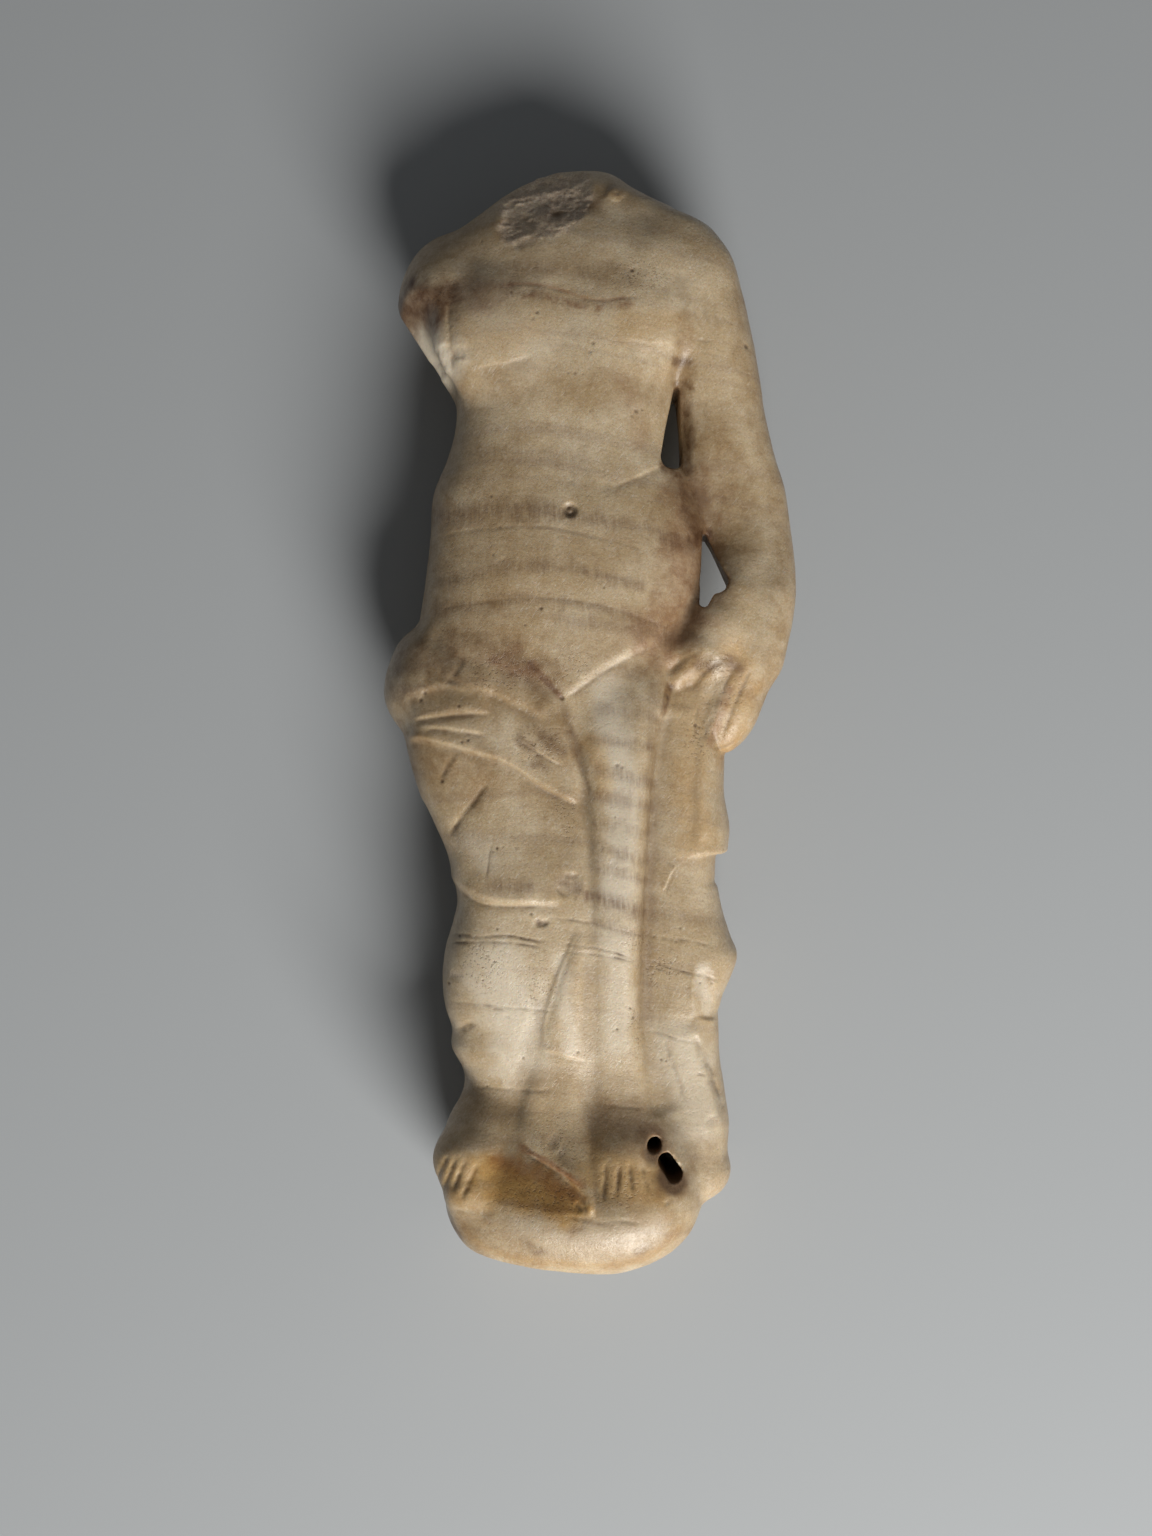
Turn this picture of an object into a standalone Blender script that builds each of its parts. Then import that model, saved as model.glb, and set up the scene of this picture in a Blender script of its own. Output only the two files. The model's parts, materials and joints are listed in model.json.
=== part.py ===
"""A small headless Venus in banded alabaster, half draped, lying on its back.

The stone is one piece. It is roughed out from lofted columns and balls, joined by a voxel remesh, then
every point is moved onto one smooth carved form, on which folds, creases and hems are cut as strokes.
The head end points along +Y, the front along +Z, and the viewer's right is +X.
"""

import math

import bmesh
import bpy
import numpy as np
from mathutils import Matrix, Vector

# Sizes of the real piece, in metres
STATUE_LENGTH = 0.2235
STATUE_WIDTH = 0.0850
STATUE_DEPTH = 0.0410
PLINTH_WIDTH = 0.0525
PLINTH_HEIGHT = 0.0150
PLINTH_DEPTH = 0.0400
PLINTH_SLANT = math.radians(10.5)
SLIT_LENGTH = 0.0140
SLIT_TOP_WIDTH = 0.0014
SLIT_FOOT_WIDTH = 0.0046
ELBOW_GAP_LENGTH = 0.0096
ELBOW_GAP_TOP_WIDTH = 0.0010
ELBOW_GAP_FOOT_WIDTH = 0.0056
ELBOW_CORNER_LENGTH = 0.0050
ELBOW_CORNER_TOP_WIDTH = 0.0040
ELBOW_CORNER_FOOT_WIDTH = 0.0018
DRILL_DIAMETER = 0.0032
DRILL_SLOT_LENGTH = 0.0032
REST_CUT = 0.0004

# Fineness of the solid
VOXEL = 0.0011
FINE_VOXEL = 0.0008
MOST_TRIANGLES = 9300
ROUGH_SIDES = 24
CUTTER_SIDES = 16
SHARP_ANGLE = math.radians(50)

# The figure's carving numbers are millimetres on a figure of this width, depth and height over the plinth
MM = 0.001
CARVED_WIDTH = 85.0
CARVED_HEIGHT = 208.5
CARVED_DEPTH = 41.0
SOLE_LEVEL = 17.0

# How square a column's cross section is: 2 is an ellipse and more is boxier
ROUND = 2.0
SOFT = 2.3
FULL = 2.6
BOXY = 3.2

# Columns: height, left, right, back and front, read from the feet up
TORSO = (
    (100, -34, 12, 2.0, 33.0),
    (108, -36, 14, 0.8, 34.5),
    (116, -36.5, 17, 0.2, 35.4),
    (126, -36.2, 20, -0.3, 36.4),
    (134, -34.6, 23.6, -0.1, 37.2),
    (143, -33.0, 25.4, 1.0, 37.6),
    (153, -31.6, 25.0, 2.6, 37.2),
    (161, -30.8, 22.5, 4.0, 36.4),
    (168, -27.8, 19.5, 4.6, 36.0),
    (176, -25.8, 19.5, 3.2, 36.2),
    (186, -26.8, 20.5, 0.9, 36.8),
    (195, -28.5, 21.5, -0.3, 36.8),
    (205, -28.5, 22.5, 0.2, 35.4),
    (213, -26.5, 23.0, 2.5, 33.6),
    (218, -20.0, 19.5, 4.8, 31.8),
    (222, -14.0, 12.5, 7.0, 30.0),
    (225.5, -7.0, 8.5, 10.5, 26.5),
)
ARM = (
    (107, 24.5, 29.0, 15.0, 27.4),
    (110, 22.0, 32.0, 14.5, 29.2),
    (114, 20.0, 34.4, 14.5, 30.6),
    (119, 18.5, 36.6, 15.0, 31.6),
    (123, 17.5, 39.0, 15.5, 32.4),
    (128, 18.0, 40.4, 16.0, 32.8),
    (134, 22.0, 41.8, 16.0, 32.4),
    (139, 25.5, 42.5, 15.5, 31.8),
    (144, 26.5, 42.7, 14.5, 30.4),
    (152, 24.5, 42.1, 13.0, 29.2),
    (160, 22.0, 41.1, 13.0, 29.0),
    (168, 20.5, 39.0, 12.0, 29.6),
    (176, 20.0, 37.4, 10.0, 30.2),
    (184, 17.5, 36.5, 7.0, 31.6),
    (193, 14.5, 35.1, 4.5, 33.0),
    (202, 13.0, 33.2, 2.5, 33.2),
    (210, 11.0, 30.2, 3.5, 32.4),
    (214, 10.0, 26.6, 5.0, 31.0),
    (217, 9.0, 20.5, 7.0, 29.0),
)
DRAPED_LEG = (
    (18, -27.0, 12, 4.0, 32.0),
    (26, -28.0, 12, 3.6, 32.2),
    (31, -28.2, 12, 3.6, 31.2),
    (35, -27.4, 12, 3.6, 30.8),
    (40, -27.1, 12, 3.8, 30.8),
    (44, -28.2, 12, 3.8, 31.4),
    (48, -30.1, 12, 3.8, 32.2),
    (52, -29.9, 12, 3.8, 32.8),
    (56, -31.0, 12, 3.8, 33.4),
    (63, -31.4, 12, 3.8, 34.4),
    (69, -30.5, 12, 4.0, 35.0),
    (74, -28.9, 12, 4.0, 35.2),
    (78, -28.0, 12, 4.0, 35.4),
    (82, -28.6, 12, 3.8, 35.4),
    (89, -30.2, 12, 3.2, 35.0),
    (94, -32.4, 12, 2.8, 34.8),
    (99, -34.6, 11, 2.2, 34.6),
    (106, -36.8, 9, 1.2, 34.6),
    (113, -38.0, 6, 1.0, 34.4),
    (120, -37.0, 3, 2.0, 33.0),
)
BARE_LEG = (
    (19, -3.0, 12.0, 4, 35.4),
    (24, -3.4, 12.4, 4, 36.4),
    (28, -3.6, 12.8, 4, 35.6),
    (33, -3.4, 12.6, 4, 33.0),
    (37, -3.2, 12.2, 4, 31.6),
    (42, -3.0, 11.4, 4, 31.6),
    (50, -2.6, 10.2, 4, 32.6),
    (58, -2.4, 9.8, 4, 33.6),
    (66, -2.4, 10.0, 4, 34.8),
    (74, -2.4, 10.6, 4, 35.6),
    (82, -2.6, 11.2, 4, 36.0),
    (92, -3.2, 12.4, 4, 36.2),
    (101, -4.0, 13.6, 4, 36.4),
    (110, -5.4, 15.4, 4, 36.2),
    (118, -7.0, 17.6, 4, 35.0),
    (126, -7.0, 18.0, 4, 33.0),
)
HIP_ROLL = (
    (112.5, -38.6, -14, 4.0, 30.6),
    (115, -40.4, -16, 2.6, 31.2),
    (119, -42.2, -18, 1.8, 31.8),
    (123, -42.3, -20, 1.8, 32.0),
    (127, -41.2, -22, 2.4, 31.4),
    (131, -39.0, -24, 3.6, 30.6),
    (134, -36.0, -24, 5.0, 29.4),
)
CENTRE_FALL = (
    (18.5, -3.4, -1.2, 14.0, 39.2),
    (21.0, -4.6, -1.2, 14.0, 38.2),
    (24.5, -8.6, -1.2, 14.0, 36.7),
    (28.0, -13.0, -1.2, 14.0, 35.0),
    (31.4, -17.0, -1.2, 14.0, 33.6),
    (36.0, -17.6, -1.2, 14.0, 32.4),
    (42.0, -16.4, -1.2, 14.0, 32.0),
    (50.0, -13.4, -1.2, 14.0, 33.0),
    (56.0, -11.0, -1.2, 14.0, 33.9),
    (62.6, -8.4, -1.2, 14.0, 34.8),
    (69.5, -5.4, -1.2, 14.0, 34.9),
    (75.0, -3.4, -1.2, 14.0, 34.2),
)
LONG_FALL = (
    (15, 4, 22.0, 5.0, 27.0),
    (18, 4, 25.4, 3.6, 29.2),
    (21, 4, 26.6, 3.4, 30.0),
    (25, 4, 26.2, 3.4, 30.0),
    (31, 4, 26.6, 3.4, 29.8),
    (38, 4, 25.9, 3.4, 29.4),
    (44, 4, 25.1, 3.4, 29.6),
    (52, 4, 25.0, 3.4, 30.0),
    (60, 4, 24.6, 3.4, 30.4),
    (74, 4, 24.4, 3.2, 30.8),
    (82, 4, 25.0, 3.0, 31.0),
    (92, 4, 25.6, 2.4, 31.2),
    (106, 4, 26.6, 2.0, 31.4),
    (116, 4, 27.0, 2.4, 31.0),
    (128, 6, 25.0, 3.0, 29.0),
)
HAND_FALL = (
    (86.2, 8, 27.8, 4.0, 30.9),
    (92, 8, 28.1, 3.0, 31.0),
    (98, 8, 27.3, 2.4, 31.1),
    (106, 8, 27.5, 2.2, 31.2),
    (116, 8, 27.6, 3.0, 30.8),
)
KNEE_FALL = (
    (54.4, 8, 25.2, 6.0, 30.0),
    (57, 8, 26.0, 5.0, 30.2),
    (61, 8, 27.8, 4.4, 30.4),
    (65.5, 8, 29.1, 4.4, 30.6),
    (69, 8, 27.9, 4.6, 30.7),
    (74, 8, 26.4, 5.0, 30.6),
    (80, 8, 25.4, 6.0, 30.4),
)

# Balls: centre and radii
LEFT_BREAST = ((-15.0, 191.0, 30.2), (14.5, 12.5, 6.8))
RIGHT_BREAST = ((10.0, 194.2, 30.0), (13.6, 12.6, 6.6))
SHOULDER_STUMP = ((-25.3, 198.6, 17.5), (12.2, 16.6, 15.6))
LEFT_BUTTOCK = ((-13.0, 121.0, 7.0), (15.0, 15.0, 8.4))
RIGHT_BUTTOCK = ((11.0, 122.0, 7.0), (13.0, 14.0, 8.2))
SHOULDER_BLADES = (((-16.0, 193.0, 6.0), (10.0, 13.0, 7.0)), ((11.0, 194.0, 6.0), (10.0, 13.0, 7.0)))

# Limbs: centre line points with their radius
LEFT_FOOT = (
    (-20.0, 38.0, 20.0, 7.0),
    (-23.0, 31.5, 24.5, 7.6),
    (-26.0, 26.5, 29.0, 7.3),
    (-25.6, 21.5, 31.4, 6.0),
)
RIGHT_FOOT = (
    (4.6, 38.0, 21.0, 7.4),
    (5.4, 31.0, 24.6, 7.4),
    (5.6, 26.6, 28.4, 7.2),
    (5.4, 22.0, 31.0, 6.0),
)
COLLAR = ((5.0, 206.0, 27.0, 7.6), (14.0, 205.0, 26.6, 7.8), (23.0, 202.0, 25.4, 7.8))
WRIST = (
    (33.0, 149.0, 21.5, 7.2),
    (31.8, 143.0, 23.6, 7.2),
    (29.4, 137.5, 25.4, 7.4),
    (26.8, 132.0, 26.8, 7.4),
    (24.0, 127.5, 27.8, 6.4),
)
WEB = ((22.5, 138.0, 20.0, 4.0), (20.0, 132.5, 24.6, 4.4), (16.0, 126.6, 28.2, 3.8))
THUMB = ((30.0, 130.0, 29.6, 3.2), (24.0, 126.6, 30.0, 2.8), (17.6, 121.8, 29.4, 2.4))

# Breaks: a point on each plane and the way it faces
NECK_BREAK = ((-6.5, 215.6, 31.0), (-0.16, 0.50, 0.85))
NECK_BREAK_MIDDLE = -6.0
NECK_BREAK_HALF_WIDTH = 8.0
NECK_BREAK_SPREAD = 1.2
STUMP_BREAKS = (
    ((-29.6, 190.3, 26.5), (-0.674, -0.393, 0.625)),
    ((-32.2, 190.5, 22.5), (-0.82, -0.50, -0.28)),
)

# The plinth's middle and lowest place across, the slope on which the feet stand, and its worn front corner
PLINTH_MIDDLE = -5.7
PLINTH_LOWEST = 7.5
PLINTH_SLOPE = ((0.0, 17.2, 38.4), (0.0, 0.44, 0.90))
PLINTH_CORNER = ((13.0, 17.0, 38.6), (0.62, 0.35, 0.70))
PLINTH_SQUARES = (2.4, 2.4, 3.6)
PLINTH_MIDDLE_HEIGHT = 1.2
PLINTH_ROUGH_FOOT = 0.8
PLINTH_ROUGH_TOP = 26.0
PLINTH_ROUGH_RINGS = 12

# Openings: where each one starts on the figure, and its lean from upright
SLIT_TOP = (19.1, 180.0)
SLIT_LEAN = -0.10
ELBOW_GAP_TOP = (24.0, 150.6)
ELBOW_GAP_LEAN = 0.16
ELBOW_CORNER = (24.9, 141.4)
ELBOW_CORNER_LEAN = -0.32
DRILL_HOLE = (10.5, 29.6)
DRILL_SLOT = (12.7, 26.3)
DRILL_SLOT_LEAN = 0.6
CUTTER_OVERSHOOT = 10.0

# Strokes seen from the front: kind, width, height and the line they follow. A step is high on its left.
FRONT_STROKES = (
    ("groove", 2.2, 0.25, ((20.4, 203), (20.0, 196), (19.8, 189), (19.6, 181))),
    ("groove", 1.4, 0.3, ((-25.0, 203), (-25.6, 194), (-25.2, 181))),
    ("groove", 1.6, 0.2, ((-22, 182.0), (-16.9, 182.8), (-8.8, 184.6))),
    ("groove", 1.6, 0.25, ((7.5, 187.6), (13.0, 185.2), (19.0, 187.2))),
    ("groove", 1.4, 0.2, ((2.0, 158.6), (8.9, 160.6), (13.5, 162.3), (17.0, 166.0))),
    ("groove", 2.2, 0.08, ((-33, 135.0), (-21.0, 136.8), (-8.3, 137.6), (4.4, 134.9), (15.0, 130.6))),
    ("groove", 2.0, 0.35, ((-36, 132), (-29.7, 130.2), (-25.6, 126.8), (-17.5, 124.2), (-5.5, 118))),
    ("step", 1.8, 0.3, ((-5.4, 118.0), (-1.8, 121.2), (3.1, 124.4), (7.1, 126.3), (14.0, 130.4))),
    ("groove", 1.2, 0.16, ((-5.5, 118.5), (-4, 112.9), (-2.2, 106), (-1.4, 98), (-0.8, 89), (-1.2, 68))),
    ("step", 1.6, 0.4, ((-38.0, 111.2), (-30.0, 109.7), (-17.1, 105.6), (-12.2, 102.6), (-2.4, 96.8))),
    ("step", 1.4, 0.3, ((-36.5, 114.6), (-29.9, 115.8), (-24, 116.4), (-19.5, 115.2))),
    ("step", 1.4, 0.2, ((-36.0, 113.2), (-28.0, 112.8), (-20.0, 111.4))),
    ("step", 2.0, 0.5, ((-38.0, 119.0), (-27.7, 121.2), (-20.8, 119.6), (-13.9, 117.2), (-8.4, 113.7))),
    ("groove", 1.8, 0.25, ((-20.5, 103), (-24.2, 97.6), (-29.5, 90.5))),
    ("step", 1.6, 0.4, ((-31.0, 83.5), (-24.6, 80.3), (-20.7, 79.0), (-11.8, 78.1), (-6.0, 77.8))),
    ("groove", 1.6, 0.15, ((-3.0, 74.3), (-5.6, 69.5), (-9.0, 62.6), (-14.0, 49.9), (-17.7, 38.2))),
    ("groove", 2.6, 0.6, ((14.6, 116.0), (13.2, 98), (12.0, 82), (11.2, 66), (11.6, 50), (13.5, 34))),
    ("step", 1.8, 0.45, ((25.6, 119.0), (22.6, 110.3), (21.4, 101.4), (21.2, 88.0))),
    ("step", 1.8, 0.45, ((25.0, 30.0), (23.4, 38.1), (21.5, 45.2), (20.5, 53.2))),
    ("groove", 1.2, 0.25, ((24.8, 127.0), (21.5, 123.0), (17.0, 119.5))),
    ("groove", 1.3, 0.15, ((29.5, 124.9), (26.2, 121.0), (23.3, 116.0), (22.0, 111.0))),
    ("groove", 1.3, 0.12, ((33.5, 124.4), (30.0, 118.0), (26.6, 112.2), (25.0, 108.0))),
)

# Strokes seen from behind, kept plain: the spine, the top of the drapery and its long folds
BACK_STROKES = (
    ("groove", 4.0, 1.2, ((-3.5, 208), (-4.5, 180), (-4.0, 150), (-3.0, 137))),
    ("step", 2.0, 1.2, ((-38, 128), (-22, 131), (-2, 134), (18, 133), (32, 130))),
    ("groove", 3.0, 0.9, ((-22, 106), (-20, 80), (-19, 50), (-20, 28))),
    ("groove", 3.0, 1.0, ((-9, 112), (-8, 84), (-7, 52), (-8, 26))),
    ("groove", 3.0, 1.0, ((3, 112), (4, 80), (5, 50), (4, 26))),
    ("groove", 3.0, 0.9, ((14, 104), (15, 76), (16, 48), (15, 26))),
)

# How widely forms run together where they meet, in carving millimetres
BROKEN_EDGE = 0.5
CRISP_EDGE = 1.0
FOLD_BLEND = 0.8
FALL_BLEND = 0.6
BARE_LEG_BLEND = 1.2
LIMB_BLEND = 2.0
SOFT_LIMB_BLEND = 2.5
BODY_BLEND = 3.0
FLESH_BLEND = 4.0

# How strokes end, how a step's raised side fades and how deep its foot is, and how far a stroke is felt
STROKE_TAPER = 3.0
STEP_FADE = 7.0
STEP_FOOT = 0.3
STROKE_REACH = 3

# Depths at which front and back strokes start and reach full height
FRONT_STARTS = 14
FRONT_SPREAD = 8
BACK_STARTS = 12
BACK_SPREAD = 6

# Rounds of carving on the rough and on the fine skin, and how far a point may move in one of them
ROUGH_ROUNDS = 4
FINE_ROUNDS = 3
GRADIENT_REACH = 0.05
LEAST_STEEPNESS = 0.3
LONGEST_MOVE = 1.2

FIGURE_SCALE = np.array((
    STATUE_WIDTH / (CARVED_WIDTH * MM),
    (STATUE_LENGTH - PLINTH_HEIGHT) / (CARVED_HEIGHT * MM),
    STATUE_DEPTH / (CARVED_DEPTH * MM),
))


# Reading smooth values


def smooth_rise(value):
    """0 below 0, 1 above 1, and a soft S between."""
    value = np.clip(value, 0, 1)
    return value * value * (3 - 2 * value)


def spline_table(stations, spacing=0.5):
    """The stations read as smooth curves, at even steps of their first value."""
    rows = np.array(stations, float)
    place = rows[:, 0]
    slopes = np.gradient(rows[:, 1:], place, axis=0)
    even = np.arange(place[0], place[-1] + spacing, spacing).clip(place[0], place[-1])
    row = np.clip(np.searchsorted(place, even, side="right") - 1, 0, len(place) - 2)
    span = (place[row + 1] - place[row])[:, None]
    t = (even - place[row])[:, None] / span
    values = (
        (2 * t**3 - 3 * t**2 + 1) * rows[row, 1:]
        + (t**3 - 2 * t**2 + t) * span * slopes[row]
        + (3 * t**2 - 2 * t**3) * rows[row + 1, 1:]
        + (t**3 - t**2) * span * slopes[row + 1]
    )
    return even, values


def smooth_line(points, spacing=0.8):
    """A smooth curve through the points, as many short straight steps."""
    points = np.array(points, float)
    steps = np.linalg.norm(np.diff(points, axis=0), axis=1)
    lengths = np.concatenate([[0], np.cumsum(steps)])
    return spline_table(np.column_stack([lengths, points]), spacing)[1]


# Forms, each a distance in millimetres that is negative inside the stone


def soft_min(first, second, width):
    overlap = np.clip(width - np.abs(first - second), 0, None) / width
    return np.minimum(first, second) - overlap * overlap * width / 4


def soft_max(first, second, width):
    return -soft_min(-first, -second, width)


def column(points, stations, front_square, back_square=FULL, end_width=2.0):
    """An upright loft whose cross sections are rounded boxes."""
    even, table = spline_table(stations)
    height = points[:, 1]
    left, right, back, front = (np.interp(height, even, table[:, side]) for side in range(4))
    x = points[:, 0] - (left + right) / 2
    z = points[:, 2] - (back + front) / 2
    power = np.where(z > 0, front_square, back_square)
    level = np.abs(2 * x / (right - left)) ** power + np.abs(2 * z / (front - back)) ** power
    level = np.maximum(level, 1e-6) ** (1 / power)
    side_distance = np.hypot(x, z) * (1 - 1 / level)
    end_distance = np.maximum(even[0] - height, height - even[-1])
    return soft_max(side_distance, end_distance, end_width)


def ball(points, centre, radii):
    away = points - np.array(centre)
    level = np.maximum(np.linalg.norm(away / np.array(radii), axis=1), 1e-3)
    return np.linalg.norm(away, axis=1) * (1 - 1 / level)


def limb(points, line, width=1.5):
    """Round tapered stretches between points of a centre line."""
    distance = None
    for start, end in zip(line, line[1:]):
        start_point = np.array(start[:3])
        along = np.array(end[:3]) - start_point
        t = np.clip((points - start_point) @ along / (along @ along), 0, 1)
        gap = np.linalg.norm(points - start_point - t[:, None] * along, axis=1)
        stretch = gap - (start[3] + t * (end[3] - start[3]))
        distance = stretch if distance is None else soft_min(distance, stretch, width)
    return distance


def plane(points, place, facing):
    facing = np.array(facing) / np.linalg.norm(facing)
    return (points - np.array(place)) @ facing


def neck_break(points):
    """The slanting break of the neck, whose sides open out towards the shoulders."""
    height = plane(points, *NECK_BREAK)
    beside = np.abs(points[:, 0] - NECK_BREAK_MIDDLE) - NECK_BREAK_HALF_WIDTH
    return soft_min(height, NECK_BREAK_SPREAD * height - beside, LIMB_BLEND)


def figure(points):
    """The carved figure over its plinth, before any stroke."""
    stump = ball(points, *SHOULDER_STUMP)
    for place, facing in STUMP_BREAKS:
        stump = soft_max(stump, plane(points, place, facing), BROKEN_EDGE)
    body = column(points, TORSO, FULL)
    body = soft_min(body, ball(points, *LEFT_BREAST), FLESH_BLEND)
    body = soft_min(body, ball(points, *RIGHT_BREAST), FLESH_BLEND)
    for blade in SHOULDER_BLADES:
        body = soft_min(body, ball(points, *blade), BODY_BLEND)
    body = soft_max(body, neck_break(points), CRISP_EDGE)
    body = soft_min(body, stump, BODY_BLEND)
    body = soft_min(body, column(points, ARM, FULL, SOFT), BODY_BLEND)
    body = soft_min(body, limb(points, COLLAR), BODY_BLEND)
    body = soft_min(body, ball(points, *LEFT_BUTTOCK), FLESH_BLEND)
    body = soft_min(body, ball(points, *RIGHT_BUTTOCK), FLESH_BLEND)
    body = soft_min(body, column(points, DRAPED_LEG, BOXY, BOXY), BODY_BLEND)
    body = soft_min(body, column(points, HIP_ROLL, ROUND, ROUND), LIMB_BLEND)
    body = soft_min(body, column(points, BARE_LEG, BOXY, BOXY), BARE_LEG_BLEND)
    body = soft_min(body, column(points, LONG_FALL, BOXY, BOXY), CRISP_EDGE)
    for fall in (HAND_FALL, KNEE_FALL):
        body = soft_min(body, column(points, fall, FULL, FULL, CRISP_EDGE), FOLD_BLEND)
    body = soft_min(body, limb(points, WEB), SOFT_LIMB_BLEND)
    body = soft_min(body, limb(points, WRIST), LIMB_BLEND)
    body = soft_min(body, limb(points, THUMB), CRISP_EDGE)
    for foot in (LEFT_FOOT, RIGHT_FOOT):
        body = soft_min(body, limb(points, foot), SOFT_LIMB_BLEND)
    return soft_min(body, column(points, CENTRE_FALL, BOXY, FULL, FOLD_BLEND), FALL_BLEND)


def plinth(points):
    """The worn block under the feet: its own size, and a slanted flat underside."""
    middle = PLINTH_HEIGHT / MM * PLINTH_MIDDLE_HEIGHT
    away = points - np.array((PLINTH_MIDDLE, middle, PLINTH_DEPTH / MM / 2))
    radii = np.array((PLINTH_WIDTH / MM / 2, middle, PLINTH_DEPTH / MM / 2))
    level = (np.abs(away / radii) ** np.array(PLINTH_SQUARES)).sum(axis=1)
    level = np.maximum(level, 1e-6) ** (1 / FULL)
    block = np.linalg.norm(away, axis=1) * (1 - 1 / level)
    for place, facing in (PLINTH_SLOPE, PLINTH_CORNER):
        block = soft_max(block, plane(points, place, facing), SOFT_LIMB_BLEND)
    return soft_max(block, underside(points), CRISP_EDGE)


def underside_facing():
    return -math.sin(PLINTH_SLANT), -math.cos(PLINTH_SLANT), 0


def underside(points):
    return plane(points, (PLINTH_LOWEST, 0, 0), underside_facing())


def to_figure(points):
    """From millimetres of the real piece to the figure's own carving numbers."""
    sole = np.array((0, PLINTH_HEIGHT / MM, 0))
    return (points - sole) / FIGURE_SCALE + np.array((0, SOLE_LEVEL, 0))


def form(points):
    """The whole stone before any stroke."""
    scale = FIGURE_SCALE.min()
    return soft_min(figure(to_figure(points)) * scale, plinth(points), LIMB_BLEND)


# Strokes, each a height to add to the surface


def stroke(points, kind, width, height, line):
    curve = smooth_line(line)
    reach = STROKE_REACH * (width if kind != "step" else STEP_FADE)
    near = ((points > curve.min(axis=0) - reach) & (points < curve.max(axis=0) + reach)).all(axis=1)
    lift = np.zeros(len(points))
    if not near.any():
        return lift
    start, along = curve[:-1], np.diff(curve, axis=0)
    length = np.linalg.norm(along, axis=1)
    away = points[near][:, None, :] - start
    t = np.clip((away * along).sum(axis=2) / length**2, 0, 1)
    gap = away - t[:, :, None] * along
    distance = np.linalg.norm(gap, axis=2)
    nearest = distance.argmin(axis=1)
    row = np.arange(len(nearest))
    distance = distance[row, nearest]
    place = np.cumsum(length)[nearest] - length[nearest] * (1 - t[row, nearest])
    ends = smooth_rise(np.minimum(place, length.sum() - place) / STROKE_TAPER)
    if kind == "step":
        side = along[nearest, 0] * away[row, nearest, 1] - along[nearest, 1] * away[row, nearest, 0]
        signed = np.where(side > 0, distance, -distance)
        rise = smooth_rise(signed / width + 0.5) * np.exp(-np.maximum(signed, 0) / STEP_FADE)
        lift[near] = height * ends * (rise - STEP_FOOT * np.exp(-((signed / width + 0.6) ** 2) * 2))
    else:
        sign = -1 if kind == "groove" else 1
        lift[near] = sign * height * ends * np.exp(-((distance / width) ** 2))
    return lift


def strokes(points):
    """All strokes, front and back, faded out round the sides."""
    front = smooth_rise((points[:, 2] - FRONT_STARTS) / FRONT_SPREAD)
    back = smooth_rise((BACK_STARTS - points[:, 2]) / BACK_SPREAD)
    plan = points[:, :2]
    lift = np.zeros(len(points))
    for kind, width, height, line in FRONT_STROKES:
        lift += front * stroke(plan, kind, width, height, line)
    for kind, width, height, line in BACK_STROKES:
        lift += back * stroke(plan, kind, width, height, line)
    return lift


# Working the mesh


def add_loft(mesh, stations):
    """A closed loft through the stations, as a rough block of the column."""
    rings = []
    for height, left, right, back, front in stations:
        ring = []
        for index in range(ROUGH_SIDES):
            turn = 2 * math.pi * index / ROUGH_SIDES
            across = math.copysign(abs(math.cos(turn)) ** (2 / SOFT), math.cos(turn))
            forth = math.copysign(abs(math.sin(turn)) ** (2 / SOFT), math.sin(turn))
            x = (left + right) / 2 + across * (right - left) / 2
            z = (back + front) / 2 + forth * (front - back) / 2
            ring.append(mesh.verts.new((x, height, z)))
        rings.append(ring)
    for lower, upper in zip(rings, rings[1:]):
        for index in range(ROUGH_SIDES):
            after = (index + 1) % ROUGH_SIDES
            mesh.faces.new((lower[index], lower[after], upper[after], upper[index]))
    mesh.faces.new(list(reversed(rings[0])))
    mesh.faces.new(rings[-1])


def add_ball(mesh, centre, radii):
    place = Matrix.Translation(centre) @ Matrix.Diagonal((*radii, 1))
    rings = ROUGH_SIDES // 2
    bmesh.ops.create_uvsphere(mesh, u_segments=ROUGH_SIDES, v_segments=rings, radius=1, matrix=place)


def plinth_stations():
    """The plinth as stations of a loft, its front kept under the slope on which the feet stand."""
    slope_place, slope_facing = PLINTH_SLOPE
    middle = PLINTH_HEIGHT / MM * PLINTH_MIDDLE_HEIGHT
    stations = []
    for height in np.linspace(PLINTH_ROUGH_FOOT, PLINTH_ROUGH_TOP, PLINTH_ROUGH_RINGS):
        share = (1 - abs(height / middle - 1) ** PLINTH_SQUARES[1]) ** (1 / PLINTH_SQUARES[0])
        half_width = PLINTH_WIDTH / MM / 2 * share
        half_depth = PLINTH_DEPTH / MM / 2
        slope_front = slope_place[2] - (height - slope_place[1]) * slope_facing[1] / slope_facing[2]
        front = min(half_depth * (1 + share), slope_front)
        stations.append(
            (height, PLINTH_MIDDLE - half_width, PLINTH_MIDDLE + half_width, half_depth * (1 - share), front)
        )
    return stations


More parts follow.
